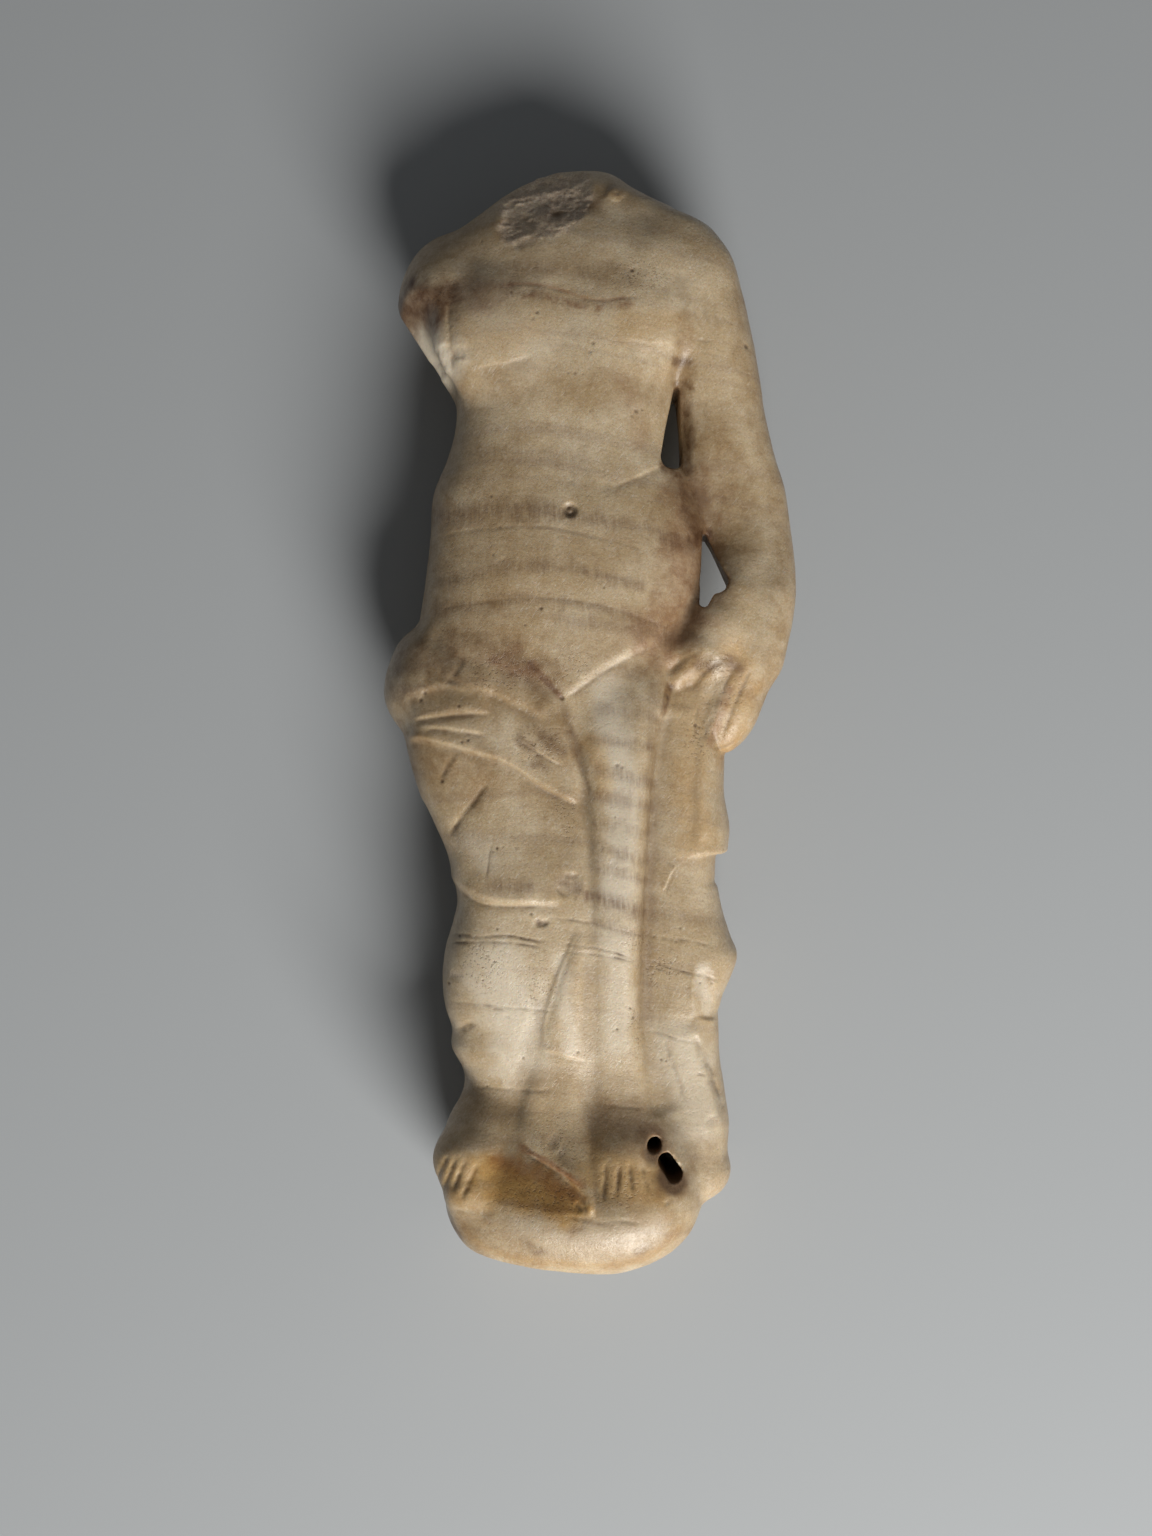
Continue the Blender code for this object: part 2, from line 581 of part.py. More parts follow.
def rough_block():
    """Every column, ball and limb as closed shells that overlap, in the real piece's millimetres."""
    mesh = bmesh.new()
    for stations in (TORSO, ARM, DRAPED_LEG, BARE_LEG, HIP_ROLL):
        add_loft(mesh, stations)
    for stations in (CENTRE_FALL, LONG_FALL, HAND_FALL, KNEE_FALL):
        add_loft(mesh, stations)
    for centre, radii in (LEFT_BREAST, RIGHT_BREAST, SHOULDER_STUMP, LEFT_BUTTOCK, RIGHT_BUTTOCK):
        add_ball(mesh, centre, radii)
    for line in (LEFT_FOOT, RIGHT_FOOT, COLLAR, WEB, WRIST, THUMB):
        for x, y, z, radius in line:
            add_ball(mesh, (x, y, z), (radius,) * 3)
    sole = Vector((0, SOLE_LEVEL, 0))
    plinth_height = Vector((0, PLINTH_HEIGHT / MM, 0))
    for vertex in mesh.verts:
        grown = (vertex.co - sole) * Vector(FIGURE_SCALE)
        vertex.co = grown + plinth_height
    add_loft(mesh, plinth_stations())
    bmesh.ops.recalc_face_normals(mesh, faces=mesh.faces)
    return mesh


def remesh(piece, voxel):
    """One even skin round everything."""
    modifier = piece.modifiers.new("one_skin", "REMESH")
    modifier.mode = "VOXEL"
    modifier.voxel_size = voxel
    apply_modifiers(piece)


def apply_modifiers(piece):
    graph = bpy.context.evaluated_depsgraph_get()
    worked = bpy.data.meshes.new_from_object(piece.evaluated_get(graph))
    piece.modifiers.clear()
    piece.data = worked


def points_of(piece):
    points = np.empty(len(piece.data.vertices) * 3)
    piece.data.vertices.foreach_get("co", points)
    return points.reshape(-1, 3) / MM


def place_points(piece, points):
    piece.data.vertices.foreach_set("co", (points * MM).ravel())
    piece.data.update()


def even_out(points, edges):
    """Each point half way to the middle of its neighbours, to keep the skin's faces even."""
    total = np.zeros_like(points)
    count = np.bincount(edges.ravel(), minlength=len(points))[:, None]
    for axis in range(3):
        total[:, axis] += np.bincount(edges[:, 0], points[edges[:, 1], axis], len(points))
        total[:, axis] += np.bincount(edges[:, 1], points[edges[:, 0], axis], len(points))
    return (points + total / np.maximum(count, 1)) / 2


def carve(piece, rounds):
    """Moves every point onto the carved form with its strokes."""
    edges = np.empty(len(piece.data.edges) * 2, np.int64)
    piece.data.edges.foreach_get("vertices", edges)
    edges = edges.reshape(-1, 2)
    points = points_of(piece)
    corners = np.array(((1, 1, 1), (1, -1, -1), (-1, 1, -1), (-1, -1, 1))) * GRADIENT_REACH
    for turn in range(rounds):
        if turn < rounds - 1:
            points = even_out(points, edges)
        values = [form(points + corner) for corner in corners]
        slope = sum(value[:, None] * corner for value, corner in zip(values, corners))
        steep = np.linalg.norm(slope, axis=1)[:, None]
        facing = slope / np.maximum(steep, 1e-9)
        steepness = steep[:, 0] / (4 * GRADIENT_REACH**2)
        distance = sum(values) / 4 / np.maximum(steepness, LEAST_STEEPNESS)
        wanted = strokes(to_figure(points))
        move = np.clip(distance - wanted, -LONGEST_MOVE, LONGEST_MOVE)
        points = points - facing * move[:, None]
    place_points(piece, points)


def thin_out(piece, most):
    triangles = sum(len(face.vertices) - 2 for face in piece.data.polygons)
    modifier = piece.modifiers.new("fewer_faces", "DECIMATE")
    modifier.ratio = most / triangles
    apply_modifiers(piece)


def slot_cutter(name, start, end, start_width, end_width):
    """An upright cutter through the stone, round at both ends."""
    mesh = bmesh.new()
    for centre, width in ((start, start_width), (end, end_width)):
        for depth in (-CUTTER_OVERSHOOT, STATUE_DEPTH / MM + CUTTER_OVERSHOOT):
            for index in range(CUTTER_SIDES):
                turn = 2 * math.pi * index / CUTTER_SIDES
                x = centre[0] + width / MM / 2 * math.cos(turn)
                y = centre[1] + width / MM / 2 * math.sin(turn)
                mesh.verts.new(Vector((x, y, depth)) * MM)
    hull = bmesh.ops.convex_hull(mesh, input=mesh.verts)
    bmesh.ops.delete(mesh, geom=hull["geom_interior"], context="VERTS")
    bmesh.ops.recalc_face_normals(mesh, faces=mesh.faces)
    data = bpy.data.meshes.new(name)
    mesh.to_mesh(data)
    cutter = bpy.data.objects.new(name, data)
    bpy.context.scene.collection.objects.link(cutter)
    cutter.display_type = "WIRE"
    cutter.hide_render = True
    return cutter


def from_figure(x, y):
    """Where a place on the figure lies on the real piece, in its millimetres."""
    return x * FIGURE_SCALE[0], PLINTH_HEIGHT / MM + (y - SOLE_LEVEL) * FIGURE_SCALE[1]


def below(place, length, lean):
    """The place that far towards the feet, leaning to the right."""
    return place[0] + length / MM * math.sin(lean), place[1] - length / MM * math.cos(lean)


def cutters():
    """The slit inside the arm, the gap at the elbow and the two drill holes by the ankle."""
    openings = (
        ("slit", SLIT_TOP, SLIT_LENGTH, SLIT_LEAN, SLIT_TOP_WIDTH, SLIT_FOOT_WIDTH),
        (
            "elbow_gap", ELBOW_GAP_TOP, ELBOW_GAP_LENGTH, ELBOW_GAP_LEAN,
            ELBOW_GAP_TOP_WIDTH, ELBOW_GAP_FOOT_WIDTH,
        ),
        (
            "elbow_corner", ELBOW_CORNER, ELBOW_CORNER_LENGTH, ELBOW_CORNER_LEAN,
            ELBOW_CORNER_TOP_WIDTH, ELBOW_CORNER_FOOT_WIDTH,
        ),
        ("drill_hole", DRILL_HOLE, 0.0, 0.0, DRILL_DIAMETER, DRILL_DIAMETER),
        ("drill_slot", DRILL_SLOT, DRILL_SLOT_LENGTH, DRILL_SLOT_LEAN, DRILL_DIAMETER, DRILL_DIAMETER),
    )
    tools = []
    for name, place, length, lean, top_width, foot_width in openings:
        top = from_figure(*place)
        tools.append(slot_cutter(name, top, below(top, length, lean), top_width, foot_width))
    return tools


def cut_through(piece, tools):
    for tool in tools:
        modifier = piece.modifiers.new(tool.name, "BOOLEAN")
        modifier.operation = "DIFFERENCE"
        modifier.object = tool
    apply_modifiers(piece)


def cut_flat(piece, place, facing):
    """Cuts off what lies beyond a plane and closes the cut with one flat face."""
    mesh = bmesh.new()
    mesh.from_mesh(piece.data)
    everything = mesh.verts[:] + mesh.edges[:] + mesh.faces[:]
    cut = bmesh.ops.bisect_plane(mesh, geom=everything, plane_co=place, plane_no=facing, clear_outer=True)
    rim = [element for element in cut["geom_cut"] if isinstance(element, bmesh.types.BMEdge)]
    bmesh.ops.edgeloop_fill(mesh, edges=rim)
    bmesh.ops.triangulate(mesh, faces=[face for face in mesh.faces if len(face.verts) > 4])
    mesh.to_mesh(piece.data)
    mesh.free()


def stone_material():
    """Honey-coloured alabaster, polished and a little worn."""
    material = bpy.data.materials.new("banded_alabaster")
    material.use_nodes = True
    shader = material.node_tree.nodes["Principled BSDF"]
    shader.inputs["Base Color"].default_value = (0.60, 0.45, 0.28, 1)
    shader.inputs["Roughness"].default_value = 0.42
    shader.inputs["Metallic"].default_value = 0.0
    return material


def venus_statuette():
    mesh = rough_block()
    bmesh.ops.scale(mesh, vec=(MM, MM, MM), verts=mesh.verts)
    data = bpy.data.meshes.new("venus_statuette")
    mesh.to_mesh(data)
    mesh.free()
    piece = bpy.data.objects.new("venus_statuette", data)
    bpy.context.scene.collection.objects.link(piece)
    remesh(piece, VOXEL)
    carve(piece, ROUGH_ROUNDS)
    remesh(piece, FINE_VOXEL)
    carve(piece, FINE_ROUNDS)
    remesh(piece, FINE_VOXEL)
    thin_out(piece, MOST_TRIANGLES)
    cut_through(piece, cutters())
    cut_flat(piece, (0, 0, REST_CUT), (0, 0, -1))
    facing = underside_facing()
    cut_flat(piece, (PLINTH_LOWEST * MM - REST_CUT * facing[0], -REST_CUT * facing[1], 0), facing)
    settle_on_floor(piece)
    piece.data.materials.clear()
    piece.data.materials.append(stone_material())
    piece.data.shade_smooth()
    piece.data.set_sharp_from_angle(angle=SHARP_ANGLE)
    return piece


def settle_on_floor(piece):
    """Puts the origin under the middle of the stone, at the floor."""
    points = points_of(piece)
    lowest, highest = points.min(axis=0), points.max(axis=0)
    middle = (lowest + highest) / 2
    middle[2] = lowest[2]
    place_points(piece, points - middle)


def clear_scene():
    for thing in list(bpy.data.objects):
        bpy.data.objects.remove(thing, do_unlink=True)


clear_scene()
venus_statuette()
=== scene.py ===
"""The looks of a small headless Venus in banded alabaster, lying on its back on a plain floor.

The stone is a copy of the fixed frame's skin, remeshed finely and settled on the same carved form. It then
gets the folds, toes, fingers, breaks, pits and cracks that chisel, drill and time left on it.
Carving numbers are millimetres: x to the viewer's right, y from the plinth to the neck, z out of the front.
"""

import json
import math

import bpy
import numpy as np
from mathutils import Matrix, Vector

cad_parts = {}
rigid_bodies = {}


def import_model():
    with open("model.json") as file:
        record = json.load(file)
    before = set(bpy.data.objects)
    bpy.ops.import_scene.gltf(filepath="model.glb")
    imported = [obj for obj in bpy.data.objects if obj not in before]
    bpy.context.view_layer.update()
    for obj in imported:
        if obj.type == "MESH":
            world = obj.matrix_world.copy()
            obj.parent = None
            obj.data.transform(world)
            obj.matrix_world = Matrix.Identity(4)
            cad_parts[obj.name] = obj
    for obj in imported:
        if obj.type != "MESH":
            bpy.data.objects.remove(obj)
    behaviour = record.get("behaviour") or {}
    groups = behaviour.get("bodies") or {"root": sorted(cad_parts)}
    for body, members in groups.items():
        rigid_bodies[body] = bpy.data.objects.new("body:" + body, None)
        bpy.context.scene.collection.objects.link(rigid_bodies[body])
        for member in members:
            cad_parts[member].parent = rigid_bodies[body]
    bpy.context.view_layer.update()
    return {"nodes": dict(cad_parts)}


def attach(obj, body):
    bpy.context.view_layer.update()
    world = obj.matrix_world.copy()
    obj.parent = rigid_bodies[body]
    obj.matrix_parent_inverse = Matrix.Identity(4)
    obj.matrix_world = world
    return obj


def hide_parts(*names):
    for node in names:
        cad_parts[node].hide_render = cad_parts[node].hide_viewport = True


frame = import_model()

MM = 0.001
# Where the frame's origin lies on the carving
FRAME_ORIGIN = np.array((0.1177, 114.23787, 0.4))

# The photo: its middle and its lens in pixels, how far it is turned, and where its eye is over the carving
PHOTO_MIDDLE = (576, 768)
FOCAL_PIXELS = 1600
PHOTO_TURN = math.radians(1.454)
EYE = (-3.05, 104.4)
EYE_HEIGHT = 350.0
# The line of sight is followed down from above the stone, in steps of this many millimetres
STONE_TOP = 46.0
SIGHT_STEP = 0.25
# The camera: its place in metres, the longer side of its picture in millimetres, and the nearest it sees
CAMERA_PLACE = (-0.00317, -0.00984, 0.3496)
SENSOR_LENGTH = 36
NEAREST_SEEN = 0.01

# Fineness of the stone's skin, in millimetres, and how many triangles it keeps
SKIN = 0.50
MOST_TRIANGLES = 196000
# Source points nearer than this many metres become one
WELD = 0.00001
# Rounds of settling, the first ones without relief, and how far a point may move in each
SETTLING_ROUNDS = 4
PLAIN_ROUNDS = 2
LONGEST_MOVE = 1.2
# How far round a point the form is measured to find its slope, and the least slope that counts
GRADIENT_REACH = 0.05
LEAST_STEEPNESS = 0.3
# The skin is finest within these margins of a fine stroke or a pit, where a stroke cuts at least this much
CUT_MARGIN = 0.15
LEAST_CUT = 0.12
PIT_MARGIN = 0.35
# How freely plain points on the front may go when the skin is thinned, where 1 is most freely
PLAIN_WEIGHT = 0.94

# How square a column's cross section is: 2 is an ellipse and more is boxier
ROUND = 2.0
SOFT = 2.3
FULL = 2.6
BOXY = 3.2

# Columns: height, left, right, back and front, read from the feet up
TORSO = (
    (100, -34, 12, 2.0, 33.0), (108, -36, 14, 0.8, 34.5), (116, -36.5, 17, 0.2, 35.4),
    (126, -36.2, 20, -0.3, 36.4), (134, -34.6, 23.6, -0.1, 37.2), (143, -33.0, 25.4, 1.0, 37.6),
    (153, -31.6, 25.0, 2.6, 37.2), (161, -30.8, 22.5, 4.0, 36.4), (168, -27.8, 19.5, 4.6, 36.0),
    (176, -25.8, 19.5, 3.2, 36.2), (186, -26.8, 20.5, 0.9, 36.8), (195, -28.5, 21.5, -0.3, 36.8),
    (205, -28.5, 22.5, 0.2, 35.4), (213, -26.5, 23.0, 2.5, 33.6), (218, -20.0, 19.5, 4.8, 31.8),
    (222, -14.0, 12.5, 7.0, 30.0), (225.5, -7.0, 8.5, 10.5, 26.5),
)
ARM = (
    (107, 24.5, 29.0, 15.0, 27.4), (110, 22.0, 32.0, 14.5, 29.2), (114, 20.0, 34.4, 14.5, 30.6),
    (119, 18.5, 36.6, 15.0, 31.6), (123, 17.5, 39.0, 15.5, 32.4), (128, 18.0, 40.4, 16.0, 32.8),
    (134, 22.0, 41.8, 16.0, 32.4), (139, 25.5, 42.5, 15.5, 31.8), (144, 26.5, 42.7, 14.5, 30.4),
    (152, 24.5, 42.1, 13.0, 29.2), (160, 22.0, 41.1, 13.0, 29.0), (168, 20.5, 39.0, 12.0, 29.6),
    (176, 20.0, 37.4, 10.0, 30.2), (184, 17.5, 36.5, 7.0, 31.6), (193, 14.5, 35.1, 4.5, 33.0),
    (202, 13.0, 33.2, 2.5, 33.2), (210, 11.0, 30.2, 3.5, 32.4), (214, 10.0, 26.6, 5.0, 31.0),
    (217, 9.0, 20.5, 7.0, 29.0),
)
DRAPED_LEG = (
    (18, -27.0, 12, 4.0, 32.0), (26, -28.0, 12, 3.6, 32.2), (31, -28.2, 12, 3.6, 31.2),
    (35, -27.4, 12, 3.6, 30.8), (40, -27.1, 12, 3.8, 30.8), (44, -28.2, 12, 3.8, 31.4),
    (48, -30.1, 12, 3.8, 32.2), (52, -29.9, 12, 3.8, 32.8), (56, -31.0, 12, 3.8, 33.4),
    (63, -31.4, 12, 3.8, 34.4), (69, -30.5, 12, 4.0, 35.0), (74, -28.9, 12, 4.0, 35.2),
    (78, -28.0, 12, 4.0, 35.4), (82, -28.6, 12, 3.8, 35.4), (89, -30.2, 12, 3.2, 35.0),
    (94, -32.4, 12, 2.8, 34.8), (99, -34.6, 11, 2.2, 34.6), (106, -36.8, 9, 1.2, 34.6),
    (113, -38.0, 6, 1.0, 34.4), (120, -37.0, 3, 2.0, 33.0),
)
BARE_LEG = (
    (19, -3.0, 12.0, 4, 35.4), (24, -3.4, 12.4, 4, 36.4), (28, -3.6, 12.8, 4, 35.6),
    (33, -3.4, 12.6, 4, 33.0), (37, -3.2, 12.2, 4, 31.6), (42, -3.0, 11.4, 4, 31.6),
    (50, -2.6, 10.2, 4, 32.6), (58, -2.4, 9.8, 4, 33.6), (66, -2.4, 10.0, 4, 34.8),
    (74, -2.4, 10.6, 4, 35.6), (82, -2.6, 11.2, 4, 36.0), (92, -3.2, 12.4, 4, 36.2),
    (101, -4.0, 13.6, 4, 36.4), (110, -5.4, 15.4, 4, 36.2), (118, -7.0, 17.6, 4, 35.0),
    (126, -7.0, 18.0, 4, 33.0),
)
HIP_ROLL = (
    (112.5, -38.6, -14, 4.0, 30.6), (115, -40.4, -16, 2.6, 31.2), (119, -42.2, -18, 1.8, 31.8),
    (123, -42.3, -20, 1.8, 32.0), (127, -41.2, -22, 2.4, 31.4), (131, -39.0, -24, 3.6, 30.6),
    (134, -36.0, -24, 5.0, 29.4),
)
CENTRE_FALL = (
    (18.5, -3.4, -1.2, 14.0, 39.2), (21.0, -4.6, -1.2, 14.0, 38.2), (24.5, -8.6, -1.2, 14.0, 36.7),
    (28.0, -13.0, -1.2, 14.0, 35.0), (31.4, -17.0, -1.2, 14.0, 33.6), (36.0, -17.6, -1.2, 14.0, 32.4),
    (42.0, -16.4, -1.2, 14.0, 32.0), (50.0, -13.4, -1.2, 14.0, 33.0), (56.0, -11.0, -1.2, 14.0, 33.9),
    (62.6, -8.4, -1.2, 14.0, 34.8), (69.5, -5.4, -1.2, 14.0, 34.9), (75.0, -3.4, -1.2, 14.0, 34.2),
)
LONG_FALL = (
    (15, 4, 22.0, 5.0, 27.0), (18, 4, 25.4, 3.6, 29.2), (21, 4, 26.6, 3.4, 30.0), (25, 4, 26.2, 3.4, 30.0),
    (31, 4, 26.6, 3.4, 29.8), (38, 4, 25.9, 3.4, 29.4), (44, 4, 25.1, 3.4, 29.6), (52, 4, 25.0, 3.4, 30.0),
    (60, 4, 24.6, 3.4, 30.4), (74, 4, 24.4, 3.2, 30.8), (82, 4, 25.0, 3.0, 31.0), (92, 4, 25.6, 2.4, 31.2),
    (106, 4, 26.6, 2.0, 31.4), (116, 4, 27.0, 2.4, 31.0), (128, 6, 25.0, 3.0, 29.0),
)
HAND_FALL = (
    (86.2, 8, 27.8, 4.0, 30.9), (92, 8, 28.1, 3.0, 31.0), (98, 8, 27.3, 2.4, 31.1),
    (106, 8, 27.5, 2.2, 31.2), (116, 8, 27.6, 3.0, 30.8),
)
KNEE_FALL = (
    (54.4, 8, 25.2, 6.0, 30.0), (57, 8, 26.0, 5.0, 30.2), (61, 8, 27.8, 4.4, 30.4),
    (65.5, 8, 29.1, 4.4, 30.6), (69, 8, 27.9, 4.6, 30.7), (74, 8, 26.4, 5.0, 30.6),
    (80, 8, 25.4, 6.0, 30.4),
)

# Balls: centre and radii
LEFT_BREAST = ((-15.0, 191.0, 30.2), (14.5, 12.5, 6.8))
RIGHT_BREAST = ((10.0, 194.2, 30.0), (13.6, 12.6, 6.6))
SHOULDER_STUMP = ((-25.3, 198.6, 17.5), (12.2, 16.6, 15.6))
LEFT_BUTTOCK = ((-13.0, 121.0, 7.0), (15.0, 15.0, 8.4))
RIGHT_BUTTOCK = ((11.0, 122.0, 7.0), (13.0, 14.0, 8.2))
SHOULDER_BLADES = (((-16.0, 193.0, 6.0), (10.0, 13.0, 7.0)), ((11.0, 194.0, 6.0), (10.0, 13.0, 7.0)))

# Limbs: centre line points with their radius
LEFT_FOOT = (
    (-20.0, 38.0, 20.0, 7.0), (-23.0, 31.5, 24.5, 7.6), (-26.0, 26.5, 29.0, 7.3), (-25.6, 21.5, 31.4, 6.0),
)
RIGHT_FOOT = (
    (4.6, 38.0, 21.0, 7.4), (5.4, 31.0, 24.6, 7.4), (5.6, 26.6, 28.4, 7.2), (5.4, 22.0, 31.0, 6.0),
)
COLLAR = ((5.0, 206.0, 27.0, 7.6), (14.0, 205.0, 26.6, 7.8), (23.0, 202.0, 25.4, 7.8))
WRIST = (
    (33.0, 149.0, 21.5, 7.2), (31.8, 143.0, 23.6, 7.2), (29.4, 137.5, 25.4, 7.4), (26.8, 132.0, 26.8, 7.4),
    (24.0, 127.5, 27.8, 6.4),
)
WEB = ((22.5, 138.0, 20.0, 4.0), (20.0, 132.5, 24.6, 4.4), (16.0, 126.6, 28.2, 3.8))
THUMB = ((30.0, 130.0, 29.6, 3.2), (24.0, 126.6, 30.0, 2.8), (17.6, 121.8, 29.4, 2.4))

# Breaks: a point on each plane and the way it faces
NECK_BREAK = ((-6.5, 215.6, 31.0), (-0.16, 0.50, 0.85))
NECK_BREAK_MIDDLE = -6.0
NECK_BREAK_HALF_WIDTH = 8.0
NECK_BREAK_SPREAD = 1.2
STUMP_BREAKS = (
    ((-29.6, 190.3, 26.5), (-0.674, -0.393, 0.625)), ((-32.2, 190.5, 22.5), (-0.82, -0.50, -0.28)),
)

# The plinth: centre, radii, squareness, the slope under the feet, its worn corner and slanted underside
PLINTH_CENTRE = (-5.7, 20.0, 20.0)
PLINTH_RADII = (26.25, 18.0, 20.0)
PLINTH_SQUARES = (2.4, 2.4, 3.6)
PLINTH_SLOPE = ((0.0, 19.2, 38.4), (0.0, 0.44, 0.90))
PLINTH_CORNER = ((13.0, 19.0, 38.6), (0.62, 0.35, 0.70))
PLINTH_UNDERSIDE = ((7.43, 2.39, 0.0), (-0.1822, -0.9833, 0.0))
BACK_REST = ((0.0, 0.0, 0.4), (0.0, 0.0, -1.0))

# Openings right through the stone: both ends of each, its width there, and how far its right wall leans in
# below the mouth, or out if that is below 0. At its start the wall leans by a share of that.
OPENINGS = (
    ((19.1, 180.0), (17.7, 166.07), 1.4, 4.6, 0.0), ((24.0, 150.6), (25.53, 141.12), 1.0, 5.6, -0.8),
    ((24.9, 141.4), (23.33, 136.65), 4.0, 1.8, -0.8), ((10.5, 29.6), (10.5, 29.59), 2.9, 2.9, 0.0),
    ((12.7, 26.3), (14.4, 23.8), 3.0, 3.0, 0.0),
)
START_SHARE = 0.6
LEAST_OPENING = 0.4

# How widely forms run into each other, in millimetres
RIM_BLEND = 0.4
BROKEN_EDGE = 0.5
FALL_BLEND = 0.6
FOLD_BLEND = 0.8
CRISP_EDGE = 1.0
BARE_LEG_BLEND = 1.2
LIMB_JOINT = 1.5
LIMB_BLEND = 2.0
SOFT_LIMB_BLEND = 2.5
BODY_BLEND = 3.0
FLESH_BLEND = 4.0
# A form is measured within this reach of it, and called far away beyond that
NEAR_REACH = 7.0
FAR_AWAY = 30.0
WIDEST_LIMB = 8.0

# Heights over the back at which things come in, and how far that takes. BACK, MOUTH and HIDDEN go down.
FRONT = (14, 8)
STAINED_FRONT = (12, 8)
BROKEN_FRONT = (8, 3)
OFF_THE_FLOOR = (0.6, 1.5)
BACK = (12, 6)
MOUTH = (29.0, 12)
HIDDEN = (24, 12)
# Fine cuts, pocks and chips lie higher than this
LOWEST_CUT = 16
LOWEST_CHIP = 20

# Grain: amount, size in millimetres and seed of each layer
STROKE_GRAIN = ((1, 2.4, 53), (0.6, 0.9, 54))
WASH_GRAIN = ((0.35, 2.6, 31), (0.2, 0.9, 32))
DIRT_GRAIN = ((0.55, 2.2, 21), (0.25, 0.8, 22))
BREAK_GRAIN = ((0.7, 3.2, 41), (0.3, 1.1, 42))
WORKED_GRAIN = ((0.10, 9.0, 6), (0.045, 3.0, 8), (0.02, 1.2, 9))
BEDDING_GRAIN = ((1.2, 30.0, 11), (0.4, 11.0, 12))
CLEAVED_GRAIN = ((1.6, 3.4, 3), (0.6, 1.3, 4))
CRUMBLED_GRAIN = ((0.25, 0.6, 5),)
POCK_GRAIN = ((1, 1.0, 25),)

# How strokes end, how a step's raised side fades, how deep its foot is, and how far a stroke is felt
STROKE_TAPER = 3.0
BROAD_FADE = 7.0
FINE_FADE = 4.0
STEP_FOOT = 0.3
STROKE_REACH = 3
LINE_STEP = 0.8
# How unevenly strokes are worn along their length, and the least and most that is left of them
BROAD_WEAR = 0.08
FINE_WEAR = 0.45
STROKE_STRENGTH = (0.2, 1.6)

# Dirt: how patchy it is and its amount in broad strokes and behind; then painted shade in the hollows, with
# its most there
DIRT_LEVEL = 0.65
DIRT_STRENGTH = (0.1, 1.2)
BROAD_DIRT = 0.08
BACK_DIRT = 0.3
HOLLOW_SHADE = (4.5, 0.28)
WIDE_HOLLOW_SHADE = (0.7, 0.12)
HOLLOW_ROUNDS = 2
WIDE_ROUNDS = 24
# How full a stain is along its line
WASH_CORE = 1.3
# Pocks: the level over which the grain makes them, their depth and their dirt
POCK_LEVEL = 0.15
POCK_DEPTH = 0.08
POCK_DIRT = 0.35
# The broken neck: where it starts, how its edge runs out, and how rough it is
BROKEN_TOP = 204
BROKEN_SPREAD = 3
BREAK_MARGIN = 1.2
BREAK_DEPTH = 0.9
BREAK_RAGGED = 1.1
CRYSTAL_HEIGHT = 0.55
BREAK_ROUGHNESS = 0.4
# Painted shade lies on the sides, where the stone faces up less than this
SHADED_SIDE_FACING = 0.85
SHADED_SIDE_SPREAD = 0.9
# The stone's layers: where they are highest, how they slope down right of it, and how they arch left of it
BED_TOP = -11
BED_SLOPE = 0.2
BED_BEND = 4
BED_ARCH = 0.0024

# Colours of the stone. The pale one also paints highlights, and the grime also paints shade in hollows and
# drill holes
CREAM = (0.70, 0.585, 0.41)
HONEY = (0.55, 0.42, 0.25)
TAN = (0.43, 0.30, 0.16)
BAND = (0.40, 0.30, 0.22)
FINE_BAND = (0.38, 0.28, 0.19)
SUGAR = (0.86, 0.80, 0.70)
SCRATCH = (0.84, 0.79, 0.70)
PALE_AND_HIGHLIGHT = (0.79, 0.71, 0.57)
DARK_CRYSTAL = (0.50, 0.37, 0.28)
PALE_CRYSTAL = (0.86, 0.75, 0.60)
SPECK = (0.15, 0.085, 0.045)
GRIME_AND_SHADE = (0.12, 0.068, 0.034)
# Colours that darken what is under them. The side one paints shade, the drab, rust and umber ones paint shade
# as well as stains, and the amber one also paints the glow of light through thin stone
GRIT = (0.70, 0.63, 0.54)
SIDE_SHADE = (0.60, 0.51, 0.39)
DRAB_AND_SHADE = (0.60, 0.50, 0.38)
AMBER_AND_GLOW = (0.90, 0.67, 0.33)
VIOLET = (0.47, 0.40, 0.38)
RUST_AND_SHADE = (0.52, 0.29, 0.20)
UMBER_AND_SHADE = (0.27, 0.18, 0.12)

# The floor and the room
FLOOR_SIZE = 4
FLOOR_GREY = (0.43, 0.455, 0.475)
ROOM_TINT = (0.95, 0.96, 0.97)
ROOM_STRENGTH = 0.095

